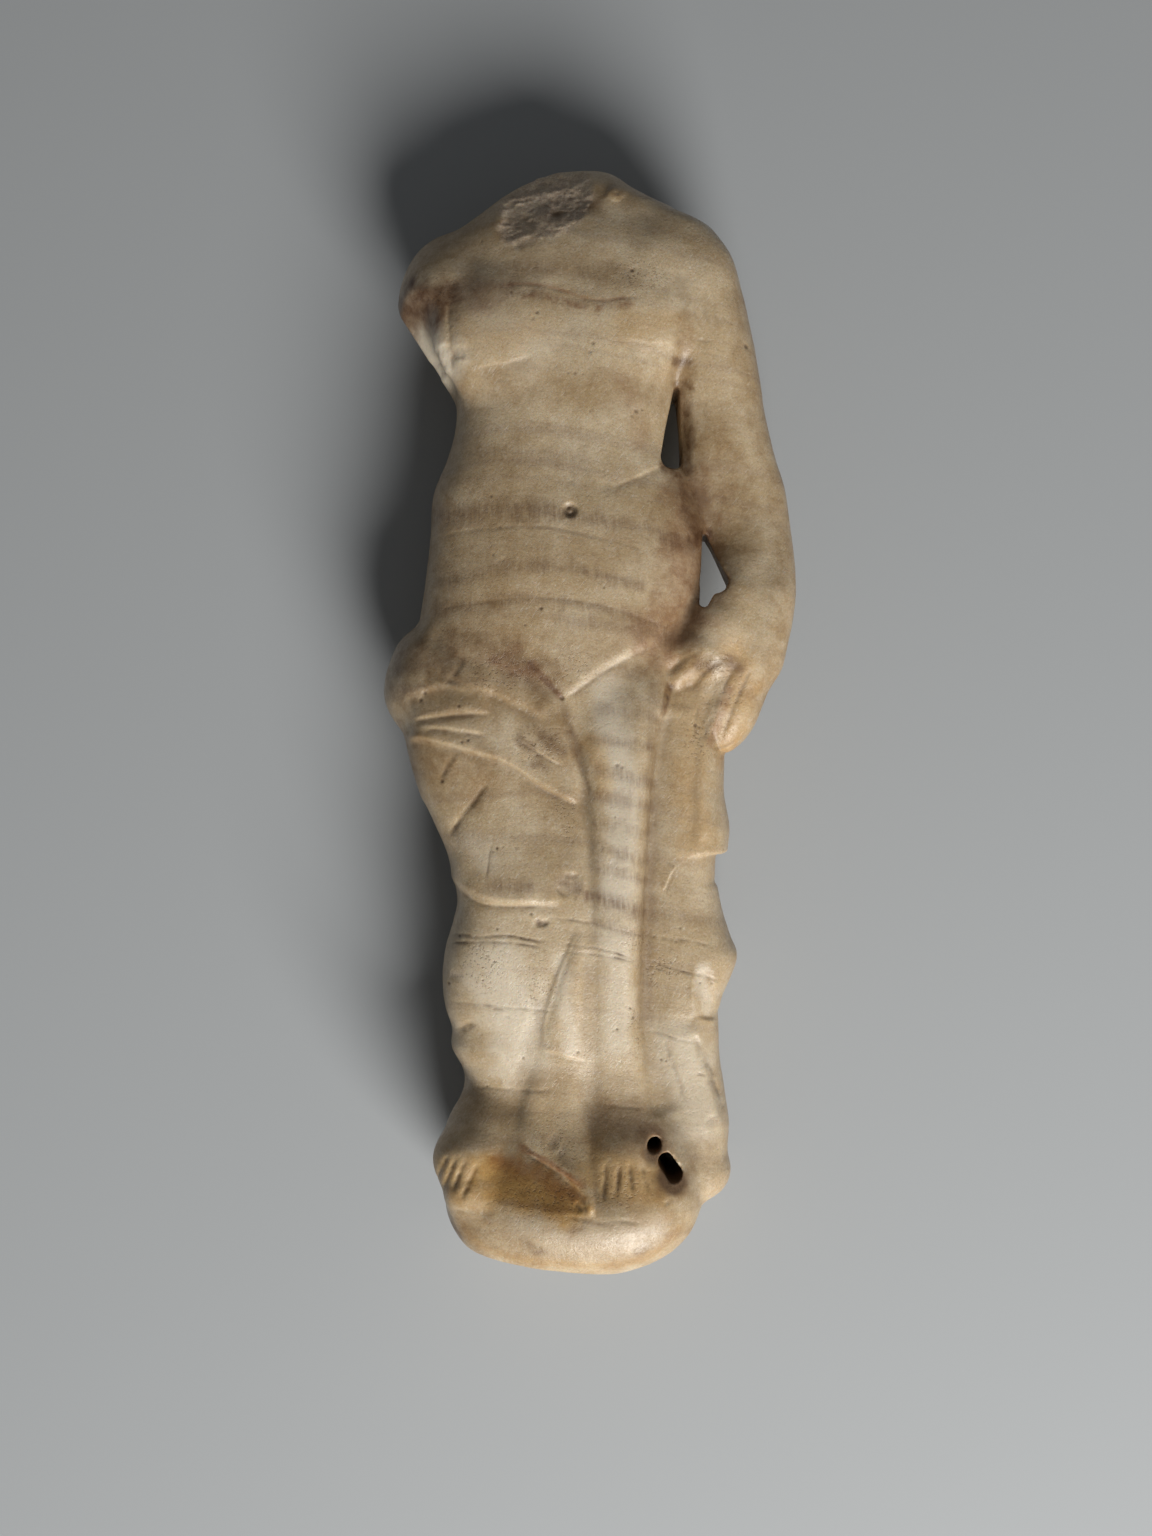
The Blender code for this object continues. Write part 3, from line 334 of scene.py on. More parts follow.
# Broad strokes seen from the front: kind, width, height and the line they follow. A step is high on its left.
BROAD_STROKES = (
    ("groove", 2.2, 0.25, ((20.4, 203), (20.0, 196), (19.8, 189), (19.6, 181))),
    ("groove", 1.4, 0.3, ((-25.0, 203), (-25.6, 194), (-25.2, 181))),
    ("groove", 1.6, 0.2, ((-22, 182.0), (-16.9, 182.8), (-8.8, 184.6))),
    ("groove", 1.6, 0.25, ((7.5, 187.6), (13.0, 185.2), (19.0, 187.2))),
    ("groove", 1.4, 0.2, ((2.0, 158.6), (8.9, 160.6), (13.5, 162.3), (17.0, 166.0))),
    ("groove", 2.2, 0.08, ((-33, 135.0), (-21.0, 136.8), (-8.3, 137.6), (4.4, 134.9), (15.0, 130.6))),
    ("groove", 2.0, 0.35, ((-36, 132), (-29.7, 130.2), (-25.6, 126.8), (-17.5, 124.2), (-5.5, 118))),
    ("step", 1.8, 0.3, ((-5.4, 118.0), (-1.8, 121.2), (3.1, 124.4), (7.1, 126.3), (14.0, 130.4))),
    ("groove", 1.2, 0.16, ((-5.5, 118.5), (-4, 112.9), (-2.2, 106), (-1.4, 98), (-0.8, 89), (-1.2, 68))),
    ("step", 1.6, 0.4, ((-38.0, 111.2), (-30.0, 109.7), (-17.1, 105.6), (-12.2, 102.6), (-2.4, 96.8))),
    ("step", 1.4, 0.3, ((-36.5, 114.6), (-29.9, 115.8), (-24, 116.4), (-19.5, 115.2))),
    ("step", 1.4, 0.2, ((-36.0, 113.2), (-28.0, 112.8), (-20.0, 111.4))),
    ("step", 2.0, 0.5, ((-38.0, 119.0), (-27.7, 121.2), (-20.8, 119.6), (-13.9, 117.2), (-8.4, 113.7))),
    ("groove", 1.8, 0.25, ((-20.5, 103), (-24.2, 97.6), (-29.5, 90.5))),
    ("step", 1.6, 0.4, ((-31.0, 83.5), (-24.6, 80.3), (-20.7, 79.0), (-11.8, 78.1), (-6.0, 77.8))),
    ("groove", 1.6, 0.15, ((-3.0, 74.3), (-5.6, 69.5), (-9.0, 62.6), (-14.0, 49.9), (-17.7, 38.2))),
    ("groove", 2.6, 0.6, ((14.6, 116.0), (13.2, 98), (12.0, 82), (11.2, 66), (11.6, 50), (13.5, 34))),
    ("step", 1.8, 0.45, ((25.6, 119.0), (22.6, 110.3), (21.4, 101.4), (21.2, 88.0))),
    ("step", 1.8, 0.45, ((25.0, 30.0), (23.4, 38.1), (21.5, 45.2), (20.5, 53.2))),
    ("groove", 1.2, 0.25, ((24.8, 127.0), (21.5, 123.0), (17.0, 119.5))),
    ("groove", 1.3, 0.15, ((29.5, 124.9), (26.2, 121.0), (23.3, 116.0), (22.0, 111.0))),
    ("groove", 1.3, 0.12, ((33.5, 124.4), (30.0, 118.0), (26.6, 112.2), (25.0, 108.0))),
)

# Strokes seen from behind, kept plain: the spine, the top of the drapery and its long folds
BACK_STROKES = (
    ("groove", 4.0, 1.2, ((-3.5, 208), (-4.5, 180), (-4.0, 150), (-3.0, 137))),
    ("step", 2.0, 1.2, ((-38, 128), (-22, 131), (-2, 134), (18, 133), (32, 130))),
    ("groove", 3.0, 0.9, ((-22, 106), (-20, 80), (-19, 50), (-20, 28))),
    ("groove", 3.0, 1.0, ((-9, 112), (-8, 84), (-7, 52), (-8, 26))),
    ("groove", 3.0, 1.0, ((3, 112), (4, 80), (5, 50), (4, 26))),
    ("groove", 3.0, 0.9, ((14, 104), (15, 76), (16, 48), (15, 26))),
)

# Fine strokes: kind, width and height in millimetres, dirt, then x and y of points picked in the photo
FINE_STROKES = (
    # Chest and arm
    ("step", 0.7, 0.09, 0.1, 472, 369, 490, 365, 510, 361, 525, 357, 535, 354),
    ("step", 0.7, 0.07, 0.1, 620, 337, 640, 341, 660, 343, 672, 342, 681, 335, 683, 322),
    ("groove", 0.5, 0.1, 0.36, 449, 296, 449, 318, 450, 340, 452, 362, 452, 382),
    ("ridge", 0.6, 0.07, 0, 446, 330, 440, 352, 444, 372, 450, 385),
    ("groove", 0.5, 0.06, 0, 458, 334, 461, 350, 463, 366),
    ("groove", 0.34, 0.05, 0.35, 505, 287, 530, 285, 545, 287, 560, 291, 575, 296, 590, 300, 605, 301, 622,
     298, 642, 297),
    ("ridge", 0.4, 0.028, 0, 555, 290, 575, 294, 590, 297, 606, 298),
    ("groove", 0.5, 0.08, 0, 686, 312, 683, 322, 680, 335, 679, 352),
    ("groove", 0.4, 0.06, 0.22, 690, 338, 703, 341, 716, 342),
    ("groove", 0.4, 0.048, 0.22, 695, 352, 710, 354, 725, 359),
    ("groove", 0.35, 0.04, 0.22, 692, 305, 697, 318, 703, 332),
    ("groove", 0.35, 0.04, 0.22, 703, 302, 706, 316, 712, 330),
    ("groove", 0.35, 0.04, 0.22, 714, 303, 716, 316, 719, 328),
    ("groove", 0.4, 0.048, 0, 690, 400, 694, 415, 697, 432),
    ("groove", 0.4, 0.06, 0, 731, 445, 725, 452, 720, 460),
    ("groove", 0.4, 0.07, 0.29, 495, 381, 501, 380, 507, 382),
    # Belly
    ("step", 0.8, 0.12, 0.3, 608, 488, 625, 481, 640, 475, 655, 468, 668, 461),
    ("groove", 0.45, 0.043, 0.36, 440, 537, 480, 530, 520, 527, 550, 528, 580, 534, 620, 543, 650, 552),
    ("groove", 0.4, 0.04, 0.2, 440, 609, 480, 603, 520, 598, 545, 598, 580, 602, 610, 608, 640, 618, 664,
     627),
    ("groove", 0.8, 0.072, 0, 571, 462, 572, 474, 571, 487),
    ("groove", 0.5, 0.072, 0.5, 452, 650, 458, 660, 453, 670, 450, 676),
    ("groove", 0.6, 0.11, 0.58, 524, 655, 534, 668, 546, 681, 560, 696),
    ("step", 0.8, 0.1, 0.3, 564, 699, 580, 687, 600, 673, 625, 658, 640, 651, 660, 642),
    # Hand
    ("groove", 0.7, 0.16, 0.5, 690, 692, 697, 682, 706, 672, 718, 662, 733, 655),
    ("groove", 0.5, 0.10, 0.4, 668, 674, 676, 666, 690, 657, 706, 648),
    ("ridge", 0.8, 0.05, 0, 664, 684, 672, 673, 684, 662, 700, 651, 716, 644),
    ("groove", 0.6, 0.16, 0.5, 738, 662, 728, 680, 718, 700, 710, 722, 702, 745),
    ("groove", 0.5, 0.12, 0.4, 752, 664, 744, 684, 735, 704, 727, 724, 720, 742),
    ("groove", 0.4, 0.09, 0.3, 700, 700, 696, 720, 693, 745),
    ("ridge", 0.8, 0.04, 0, 730, 668, 720, 690, 712, 712, 706, 735),
    ("ridge", 0.8, 0.04, 0, 746, 672, 737, 694, 729, 716),
    ("groove", 0.5, 0.12, 0.6, 664, 690, 668, 699, 665, 710),
    ("step", 0.6, 0.08, 0.3, 740, 738, 728, 747, 716, 750, 704, 748),
    ("groove", 0.5, 0.06, 0.14, 700, 768, 715, 772, 728, 774),
    # Folds
    ("step", 0.8, 0.2, 0.5, 410, 720, 440, 716, 470, 713, 494, 713),
    ("step", 0.8, 0.16, 0.5, 420, 727, 450, 729, 470, 732, 488, 735),
    ("ridge", 1.2, 0.09, 0, 405, 735, 430, 736, 450, 740, 480, 750, 500, 755, 520, 765, 540, 779, 560, 789,
     576, 799),
    ("step", 0.9, 0.26, 0.3, 408, 738, 425, 739, 450, 745, 480, 755, 500, 760, 520, 771, 540, 786, 560,
     796, 580, 806),
    ("step", 0.48, 0.18, 0.32, 512, 735, 532, 748, 548, 758, 566, 768),
    ("groove", 0.8, 0.23, 0.36, 438, 680, 455, 683, 472, 688, 490, 695, 512, 703),
    ("groove", 0.6, 0.18, 0.43, 456, 650, 462, 662, 452, 676, 446, 682),
    ("groove", 0.6, 0.16, 0.4, 457, 752, 450, 762, 444, 772, 438, 784),
    ("ridge", 0.6, 0.072, 0, 461, 752, 455, 762, 449, 772),
    ("groove", 0.6, 0.21, 0.36, 448, 838, 464, 814, 478, 796, 488, 780),
    ("groove", 0.3, 0.078, 0.52, 493, 838, 490, 852, 488, 868, 485, 883),
    ("step", 0.64, 0.25, 0.32, 458, 885, 466, 893, 478, 901, 500, 905, 520, 905, 544, 905),
    ("ridge", 0.7, 0.072, 0, 457, 882, 466, 889, 480, 896, 500, 900, 530, 900),
    ("groove", 0.5, 0.18, 0.36, 560, 873, 572, 876, 582, 872),
    ("groove", 0.4, 0.1, 0.29, 555, 885, 560, 893, 570, 897),
    ("ridge", 0.5, 0.11, 0, 582, 876, 584, 888, 585, 902),
    ("step", 0.64, 0.18, 0.22, 590, 800, 583, 780, 577, 760, 571, 735, 564, 712),
    # Right fall
    ("step", 0.48, 0.21, 0, 662, 897, 666, 886, 671, 874, 679, 862),
    ("groove", 0.3, 0.11, 0.52, 666, 862, 671, 865, 676, 868),
    ("groove", 0.6, 0.18, 0.26, 664, 1034, 670, 1056, 678, 1080, 688, 1106),
    ("groove", 0.9, 0.36, 0.32, 694, 1030, 702, 1052, 711, 1074, 719, 1098, 724, 1115),
    ("ridge", 0.5, 0.11, 0, 648, 1070, 652, 1095, 660, 1118, 666, 1132),
    ("groove", 0.3, 0.09, 0.46, 696, 1072, 702, 1074, 708, 1075),
    ("ridge", 0.6, 0.13, 0, 695, 962, 692, 985, 694, 1012),
    ("step", 0.72, 0.24, 0.22, 718, 1017, 706, 1019, 694, 1015),
    ("groove", 0.3, 0.056, 0.35, 643, 1028, 652, 1032, 662, 1034, 680, 1040, 700, 1043),
    # Shins
    ("groove", 0.36, 0.11, 0.85, 448, 935, 462, 934, 478, 937, 495, 936, 510, 936, 525, 939, 538, 941, 550,
     942),
    ("groove", 0.32, 0.08, 0.7, 446, 941, 470, 942, 490, 942, 510, 943, 525, 945, 545, 948),
    ("groove", 0.3, 0.06, 0.55, 556, 943, 570, 945, 590, 947, 612, 952, 640, 960),
    ("groove", 0.35, 0.067, 0.5, 560, 951, 590, 954, 612, 957, 640, 962),
    ("groove", 0.34, 0.08, 0.6, 642, 960, 655, 963, 668, 967, 685, 972, 700, 975, 724, 982),
    ("groove", 0.3, 0.049, 0.35, 642, 966, 660, 970, 680, 975),
    ("groove", 0.34, 0.052, 0.35, 545, 918, 570, 920, 590, 923, 612, 928, 640, 935),
    ("groove", 0.4, 0.067, 0.29, 640, 936, 665, 938, 690, 941, 718, 948),
    ("groove", 0.7, 0.22, 0.58, 534, 918, 541, 923, 550, 924),
    ("step", 0.8, 0.16, 0.15, 577, 928, 570, 946, 561, 966, 553, 988, 547, 1008, 543, 1028, 541, 1046),
    ("step", 0.72, 0.22, 0, 538, 1049, 556, 1053, 572, 1058, 588, 1062),
    ("groove", 0.3, 0.084, 0.46, 490, 1009, 500, 1009, 506, 1011),
    ("groove", 0.3, 0.07, 0.41, 503, 1015, 510, 1018),
    ("groove", 0.9, 0.28, 0.36, 456, 1029, 466, 1026, 477, 1020),
    ("groove", 0.4, 0.084, 0.36, 470, 1086, 490, 1088, 520, 1090, 560, 1090),
    ("groove", 0.4, 0.084, 0.29, 596, 1104, 620, 1106, 648, 1108),
    ("groove", 0.35, 0.067, 0.29, 446, 1000, 470, 1003, 500, 1007, 540, 1010, 560, 1013),
    ("groove", 0.5, 0.11, 0.22, 632, 1000, 634, 1014, 632, 1028),
    # Neck
    ("groove", 1.5, 0.48, 0.34, 545, 219, 560, 213, 580, 206, 598, 200),
    ("ridge", 1.3, 0.36, 0, 508, 204, 530, 198, 560, 192, 585, 187),
    ("ridge", 2, 0.42, 0, 606, 188, 615, 194, 622, 201),
    ("groove", 0.8, 0.24, 0.26, 515, 214, 528, 222, 540, 232),
    ("ridge", 0.9, 0.24, 0, 500, 222, 512, 228, 520, 236),
    # Feet and plinth
    ("step", 0.56, 0.2, 0.4, 522, 1150, 540, 1160, 556, 1170, 572, 1180, 584, 1188),
    ("ridge", 0.9, 0.05, 0, 522, 1141, 540, 1154, 556, 1163, 572, 1171, 580, 1180),
    ("groove", 0.55, 0.3, 0.45, 450, 1152, 443, 1166, 436, 1182),
    ("groove", 0.55, 0.3, 0.45, 458, 1153, 450, 1172, 443, 1191),
    ("groove", 0.55, 0.3, 0.45, 468, 1155, 459, 1175, 451, 1196),
    ("groove", 0.6, 0.3, 0.4, 480, 1158, 470, 1180, 459, 1203),
    ("groove", 0.55, 0.3, 0.45, 606, 1158, 605, 1180, 603, 1206),
    ("groove", 0.55, 0.3, 0.45, 618, 1158, 618, 1180, 615, 1203),
    ("groove", 0.55, 0.3, 0.45, 629, 1158, 631, 1180, 634, 1200),
    ("groove", 0.55, 0.3, 0.4, 640, 1158, 645, 1178, 651, 1196),
    ("groove", 0.6, 0.21, 0.65, 575, 1200, 578, 1206, 583, 1213),
    ("groove", 0.5, 0.12, 0.29, 600, 1222, 620, 1221, 645, 1224),
    ("groove", 0.5, 0.09, 0.22, 560, 1215, 590, 1221, 615, 1226),
    ("groove", 0.7, 0.15, 0.14, 448, 1206, 470, 1212, 500, 1213),
    ("groove", 0.5, 0.15, 0.36, 662, 1206, 668, 1202, 676, 1198),
)

# Pits: the point picked in the photo, radius and depth in millimetres, and dirt
PITS = (
    (570, 510, 1.35, 0.8, 0.6), (570, 510, 0.5, -0.35, 0.0), (537, 312, 0.4, 0.14, 0.35),
    (533, 318, 0.4, 0.09, 0.14), (593, 343, 0.4, 0.14, 0.42), (590, 352, 0.4, 0.14, 0.14),
    (575, 373, 0.36, 0.11, 0.35), (568, 373, 0.28, 0.09, 0.35), (583, 374, 0.28, 0.09, 0.28),
    (746, 346, 0.48, 0.18, 0.63), (632, 270, 0.4, 0.16, 0.63), (636, 411, 0.4, 0.14, 0.42),
    (632, 416, 0.32, 0.09, 0.14), (642, 410, 0.28, 0.09, 0.42), (541, 608, 0.36, 0.23, 0.7),
    (525, 625, 0.24, 0.11, 0.63), (440, 292, 0.24, 0.09, 0.56), (482, 241, 0.24, 0.09, 0.56),
    (502, 262, 0.24, 0.09, 0.28), (511, 292, 0.24, 0.09, 0.56), (562, 698, 0.48, 0.23, 0.7),
    (590, 411, 0.28, 0.09, 0.28), (491, 496, 0.24, 0.09, 0.63), (500, 527, 0.24, 0.09, 0.63),
    (493, 554, 0.32, 0.11, 0.14), (503, 560, 0.28, 0.09, 0.14), (605, 475, 0.24, 0.09, 0.35),
    (604, 587, 0.28, 0.11, 0.42), (617, 765, 0.4, 0.11, 0.35), (622, 767, 0.32, 0.11, 0.21),
    (615, 817, 0.24, 0.09, 0.56), (497, 848, 0.32, 0.14, 0.7), (503, 847, 0.24, 0.09, 0.56),
    (493, 852, 0.24, 0.09, 0.56), (516, 848, 0.24, 0.09, 0.49), (459, 706, 0.36, 0.14, 0.63),
    (425, 693, 0.4, 0.14, 0.63), (421, 700, 0.4, 0.14, 0.56), (462, 742, 0.32, 0.14, 0.63),
    (468, 740, 0.32, 0.14, 0.56), (695, 725, 0.4, 0.14, 0.56), (699, 727, 0.32, 0.14, 0.35),
    (442, 781, 0.4, 0.16, 0.7), (460, 936, 0.28, 0.14, 0.63), (497, 929, 0.28, 0.11, 0.63),
    (531, 914, 0.32, 0.14, 0.63), (680, 928, 0.28, 0.11, 0.56), (676, 942, 0.24, 0.09, 0.49),
    (630, 1008, 0.28, 0.14, 0.63), (633, 1018, 0.28, 0.11, 0.63), (617, 1029, 0.28, 0.11, 0.56),
    (661, 1060, 0.28, 0.11, 0.56), (666, 1061, 0.24, 0.09, 0.49), (487, 1086, 0.24, 0.11, 0.56),
    (523, 1058, 0.28, 0.14, 0.63), (578, 1052, 0.32, 0.14, 0.35), (449, 983, 0.32, 0.14, 0.63),
    (494, 962, 0.28, 0.11, 0.56), (488, 956, 0.28, 0.09, 0.42), (700, 983, 0.24, 0.11, 0.56),
    # The last four are the drill holes, darkened with painted shade round their rims
    (712, 983, 0.28, 0.11, 0.35), (483, 980, 0.24, 0.09, 0.28), (652, 1145, 2.1, 0.1, 1.0),
    (662, 1158, 2.0, 0.1, 1.0), (670, 1169, 2.1, 0.1, 1.0), (676, 1178, 2.2, 0.1, 0.9),
)

# Chips: the point picked, half length, half width, turn in degrees, depth, and how broken the stone is
SCOOPS = (
    (568, 884, 2.6, 2.0, 10, 0.2, 0.35), (555, 1140, 1.6, 1.0, 60, 0.12, 0.3),
    (562, 1150, 1.4, 0.8, 70, 0.12, 0.3), (456, 975, 1.2, 1.0, 0, 0.15, 0.3),
    (712, 1120, 1.3, 1.0, 20, 0.15, 0.4), (705, 985, 3.2, 1.9, 95, 0.30, 0.15),
    (708, 1006, 2.0, 1.6, 95, 0.25, 0.15), (462, 352, 1.2, 2.2, 80, 0.2, 0.2),
    (441, 358, 2.0, 4.2, 100, 0.25, 0.25), (660, 290, 1.0, 1.4, 90, 0.08, 0.1),
    (543, 923, 1.5, 0.6, 15, 0.2, 0.5),
)

# Stains by colour, among them painted shade, highlights and glow: width in millimetres, strength, then x and
# y of points picked in the photo
STAINS = {
    # Brown stains, and painted shade: the forearm's shadow on the belly, the slit's wall, the drill holes'
    # rims and the ankle
    "umber_and_shade": (
        (5.4, 1.0, 402, 308, 420, 306, 436, 303), (5.0, 0.45, 440, 300, 460, 296, 482, 290),
        (2.6, 0.35, 480, 288, 505, 284, 532, 282), (3.0, 0.7, 550, 214, 565, 211, 590, 203),
        (1.6, 0.6, 508, 200, 540, 196, 570, 192), (1.0, 0.8, 676, 362, 684, 362, 690, 361),
        (1.0, 0.9, 676, 386, 684, 385, 690, 387),
        (1.5, 0.85, 681, 392, 684, 405, 686, 425, 687, 445, 686, 462),
        (1.2, 0.9, 664, 466, 674, 474, 686, 470), (2.4, 0.6, 672, 478, 682, 492, 690, 510, 695, 530),
        (1.2, 0.95, 692, 530, 699, 538, 703, 541),
        (2.8, 0.5, 694, 500, 697, 530, 699, 560, 699, 590, 692, 615, 676, 640),
        (1.6, 0.35, 722, 560, 728, 575, 730, 590), (3.4, 0.5, 455, 640, 490, 650, 525, 668, 550, 688),
        (1.6, 0.5, 455, 655, 458, 664, 452, 672), (6.0, 0.65, 402, 655, 422, 658, 438, 664),
        (2.8, 0.5, 396, 690, 410, 692, 425, 690), (1.8, 0.6, 545, 735, 553, 742, 560, 750),
        (1.2, 0.6, 518, 740, 530, 748), (1.4, 0.55, 536, 762, 548, 768),
        (1.2, 0.5, 550, 690, 560, 698, 566, 712, 572, 738, 580, 760, 588, 790),
        (1.7, 0.4, 655, 690, 653, 750, 651, 800, 650, 860, 648, 920, 646, 980, 645, 1020),
        (1.6, 0.7, 700, 662, 715, 664, 730, 660, 738, 668), (0.8, 0.9, 670, 688, 666, 698, 663, 712),
        (1.6, 0.35, 622, 668, 630, 675, 640, 670), (0.8, 0.6, 500, 1202, 520, 1204, 545, 1208, 575, 1211),
        (1.2, 0.5, 524, 1240, 532, 1247, 540, 1252), (1.0, 0.5, 636, 1252, 646, 1248),
        (0.9, 0.6, 573, 1229, 583, 1228), (1.4, 0.7, 450, 1222, 458, 1236),
        (3.0, 0.6, 648, 1132, 658, 1146, 668, 1160, 680, 1182), (2.6, 0.2, 602, 1090, 625, 1088, 646, 1096),
        (1.0, 0.3, 536, 1000, 541, 1030, 540, 1045),
    ),
    # Red-brown stains, and painted shade on the belly under the forearm and on the right ankle
    "rust_and_shade": (
        (5.0, 0.35, 406, 308, 440, 304, 478, 296),
        (0.4, 0.5, 455, 303, 480, 292, 505, 286, 530, 284, 545, 286, 562, 290, 580, 296, 600, 300, 625,
         298),
        (0.4, 0.6, 520, 295, 545, 298, 565, 303, 585, 307, 605, 307, 630, 304),
        (2.5, 0.25, 620, 380, 635, 410, 640, 440),
        (7.0, 0.5, 690, 500, 694, 530, 690, 560, 688, 595, 676, 622, 660, 640),
        (1.6, 0.6, 494, 662, 510, 668, 526, 672, 532, 668), (1.4, 0.5, 508, 654, 516, 650),
        (0.7, 0.7, 530, 664, 545, 680, 560, 696), (1.0, 0.5, 728, 690, 720, 715, 710, 745),
        (2.0, 0.6, 500, 1160, 530, 1171, 556, 1185, 578, 1197),
        (0.8, 0.8, 522, 1148, 545, 1160, 565, 1174, 583, 1186), (4.0, 0.3, 600, 1120, 630, 1125, 655, 1135),
    ),
    # Dull, darker stone, and mostly painted shade: the left shoulder, flank and hip, the belly beside the
    # forearm, the arm's outer edge, the ankles, the hand, the plinth's front and the highlight above the slit
    "drab_and_shade": (
        (5.0, 0.6, 418, 262, 455, 246, 490, 238), (4.0, 0.3, 500, 262, 560, 258, 610, 258),
        (4.5, 0.5, 470, 392, 520, 384, 580, 388, 650, 392), (2.6, 0.75, 686, 322, 684, 350, 683, 378),
        (3.5, 0.45, 560, 200, 585, 205, 600, 197), (2.0, 0.6, 600, 190, 618, 195, 628, 203),
        (4.0, 0.2, 640, 225, 680, 235, 715, 260), (6.0, 0.5, 672, 500, 676, 550, 672, 600, 662, 640),
        (5.0, 0.7, 715, 430, 725, 470, 735, 510, 740, 545),
        (3.6, 0.6, 742, 300, 752, 380, 768, 450, 784, 530, 788, 600, 778, 660, 760, 700),
        (7.0, 0.6, 440, 480, 440, 530, 442, 580, 450, 620),
        (12.0, 0.42, 490, 490, 490, 540, 500, 600, 510, 640), (8.0, 0.35, 480, 560, 560, 555, 640, 565),
        (7.0, 0.8, 450, 625, 480, 632, 515, 648, 540, 668), (5.0, 0.5, 575, 655, 605, 640, 640, 628),
        (5.0, 0.15, 590, 690, 615, 672, 645, 660),
        (5.5, 0.6, 470, 672, 500, 688, 530, 705, 550, 728, 562, 752),
        (6.5, 0.95, 412, 752, 440, 768, 480, 780), (4.0, 0.5, 412, 705, 450, 705, 490, 715),
        (3.5, 0.5, 490, 775, 530, 790, 570, 812), (6.0, 0.4, 668, 660, 690, 672, 715, 668),
        (3.0, 0.15, 630, 690, 640, 720), (6.0, 0.6, 470, 1232, 540, 1246, 600, 1250, 665, 1232),
        (4.0, 0.4, 700, 1150, 715, 1180, 700, 1195), (4.5, 0.1, 455, 1120, 480, 1125, 505, 1130),
        (6.0, 0.12, 604, 1120, 625, 1125, 645, 1135), (3.0, 0.6, 522, 1078, 545, 1082, 565, 1080),
        (4.0, 0.5, 455, 1075, 480, 1100, 505, 1110), (6.0, 0.12, 470, 870, 520, 865, 560, 850),
    ),
    "violet": (
        (1.2, 0.55, 500, 287, 510, 288, 510, 291, 540, 295, 560, 300, 580, 304, 602, 305, 628, 303),
        (2.4, 0.45, 515, 268, 535, 268, 560, 270, 600, 274, 635, 280),
        (2.6, 0.7, 438, 516, 470, 514, 500, 509, 530, 510, 556, 514),
        (1.7, 0.65, 556, 514, 590, 519, 620, 524, 650, 531, 690, 546),
        (1.6, 0.5, 440, 582, 480, 573, 520, 566, 560, 566),
        (1.2, 0.7, 540, 566, 570, 567, 590, 572, 612, 580, 640, 586),
        (1.3, 0.5, 436, 611, 470, 605, 510, 600, 545, 600, 580, 604, 612, 611, 640, 621, 664, 629),
        (1.8, 0.45, 560, 620, 600, 625, 640, 632, 670, 640),
        (2.2, 0.4, 480, 455, 510, 452, 545, 458, 580, 462), (1.5, 0.3, 520, 432, 555, 432, 585, 438),
        (1.4, 0.5, 600, 710, 625, 712, 652, 716), (1.0, 0.6, 590, 738, 620, 742, 652, 748),
        (1.5, 0.6, 598, 770, 625, 776, 650, 784), (1.3, 0.6, 598, 796, 625, 800, 650, 806),
        (1.0, 0.5, 594, 822, 620, 826, 648, 834), (0.9, 0.7, 594, 848, 620, 854, 646, 862),
        (1.0, 0.6, 594, 866, 620, 872, 644, 880), (1.5, 1.0, 588, 897, 605, 901, 622, 906, 642, 913),
        (1.2, 0.5, 644, 914, 680, 918, 722, 924), (0.8, 0.6, 594, 922, 620, 930, 642, 936),
        (1.6, 0.6, 492, 884, 508, 885, 526, 886), (1.5, 0.6, 558, 880, 570, 884, 578, 890),
        (1.4, 0.3, 450, 836, 490, 836, 540, 838, 580, 842),
    ),
    # Honey tints, and under the feet the painted glow of light through the thin stone
    "amber_and_glow": (
        (3.2, 0.22, 470, 335, 500, 338, 530, 330), (2.6, 0.22, 622, 318, 650, 322, 672, 318),
        (3.0, 0.35, 508, 228, 530, 226, 550, 222), (2.0, 0.4, 590, 740, 600, 760, 604, 790),
        (3.5, 0.5, 735, 650, 745, 690, 735, 720, 725, 750),
        (5.0, 0.35, 690, 670, 690, 720, 690, 780, 695, 840),
        (5.4, 0.95, 490, 1178, 520, 1188, 545, 1194, 572, 1202),
        (6.0, 0.6, 440, 1172, 465, 1184, 490, 1192), (6.0, 0.65, 600, 1172, 625, 1180, 655, 1184),
        (1.2, 0.35, 460, 1222, 480, 1245, 520, 1258, 570, 1264, 620, 1264, 660, 1248, 678, 1228),
        (5.0, 0.25, 545, 1115, 555, 1140, 570, 1165),
    ),
    # Pale stone, and painted highlights on lit facets and edges, the bare leg, the shins, the low fall and
    # the plinth's front
    "pale_and_highlight": (
        (3.0, 0.4, 470, 845, 480, 850, 486, 862),
        (3.8, 0.8, 606, 690, 612, 725, 618, 760, 625, 800, 622, 850, 618, 900),
        (3.6, 0.6, 615, 940, 617, 985, 616, 1040), (1.4, 0.6, 703, 970, 700, 985, 708, 998, 706, 1010),
        (0.5, 0.2, 564, 696, 590, 681, 620, 662, 642, 648), (7.0, 0.8, 500, 970, 510, 1010, 518, 1060),
        (2.0, 0.6, 560, 960, 566, 1010, 570, 1050), (3.4, 1.0, 424, 336, 436, 358, 446, 382),
        (1.6, 0.5, 458, 340, 462, 360), (3.4, 0.4, 520, 1228, 570, 1234, 620, 1234, 655, 1226),
        (6.0, 0.55, 680, 1040, 690, 1080, 700, 1120), (5.0, 0.35, 490, 322, 520, 335, 530, 350),
    ),
}

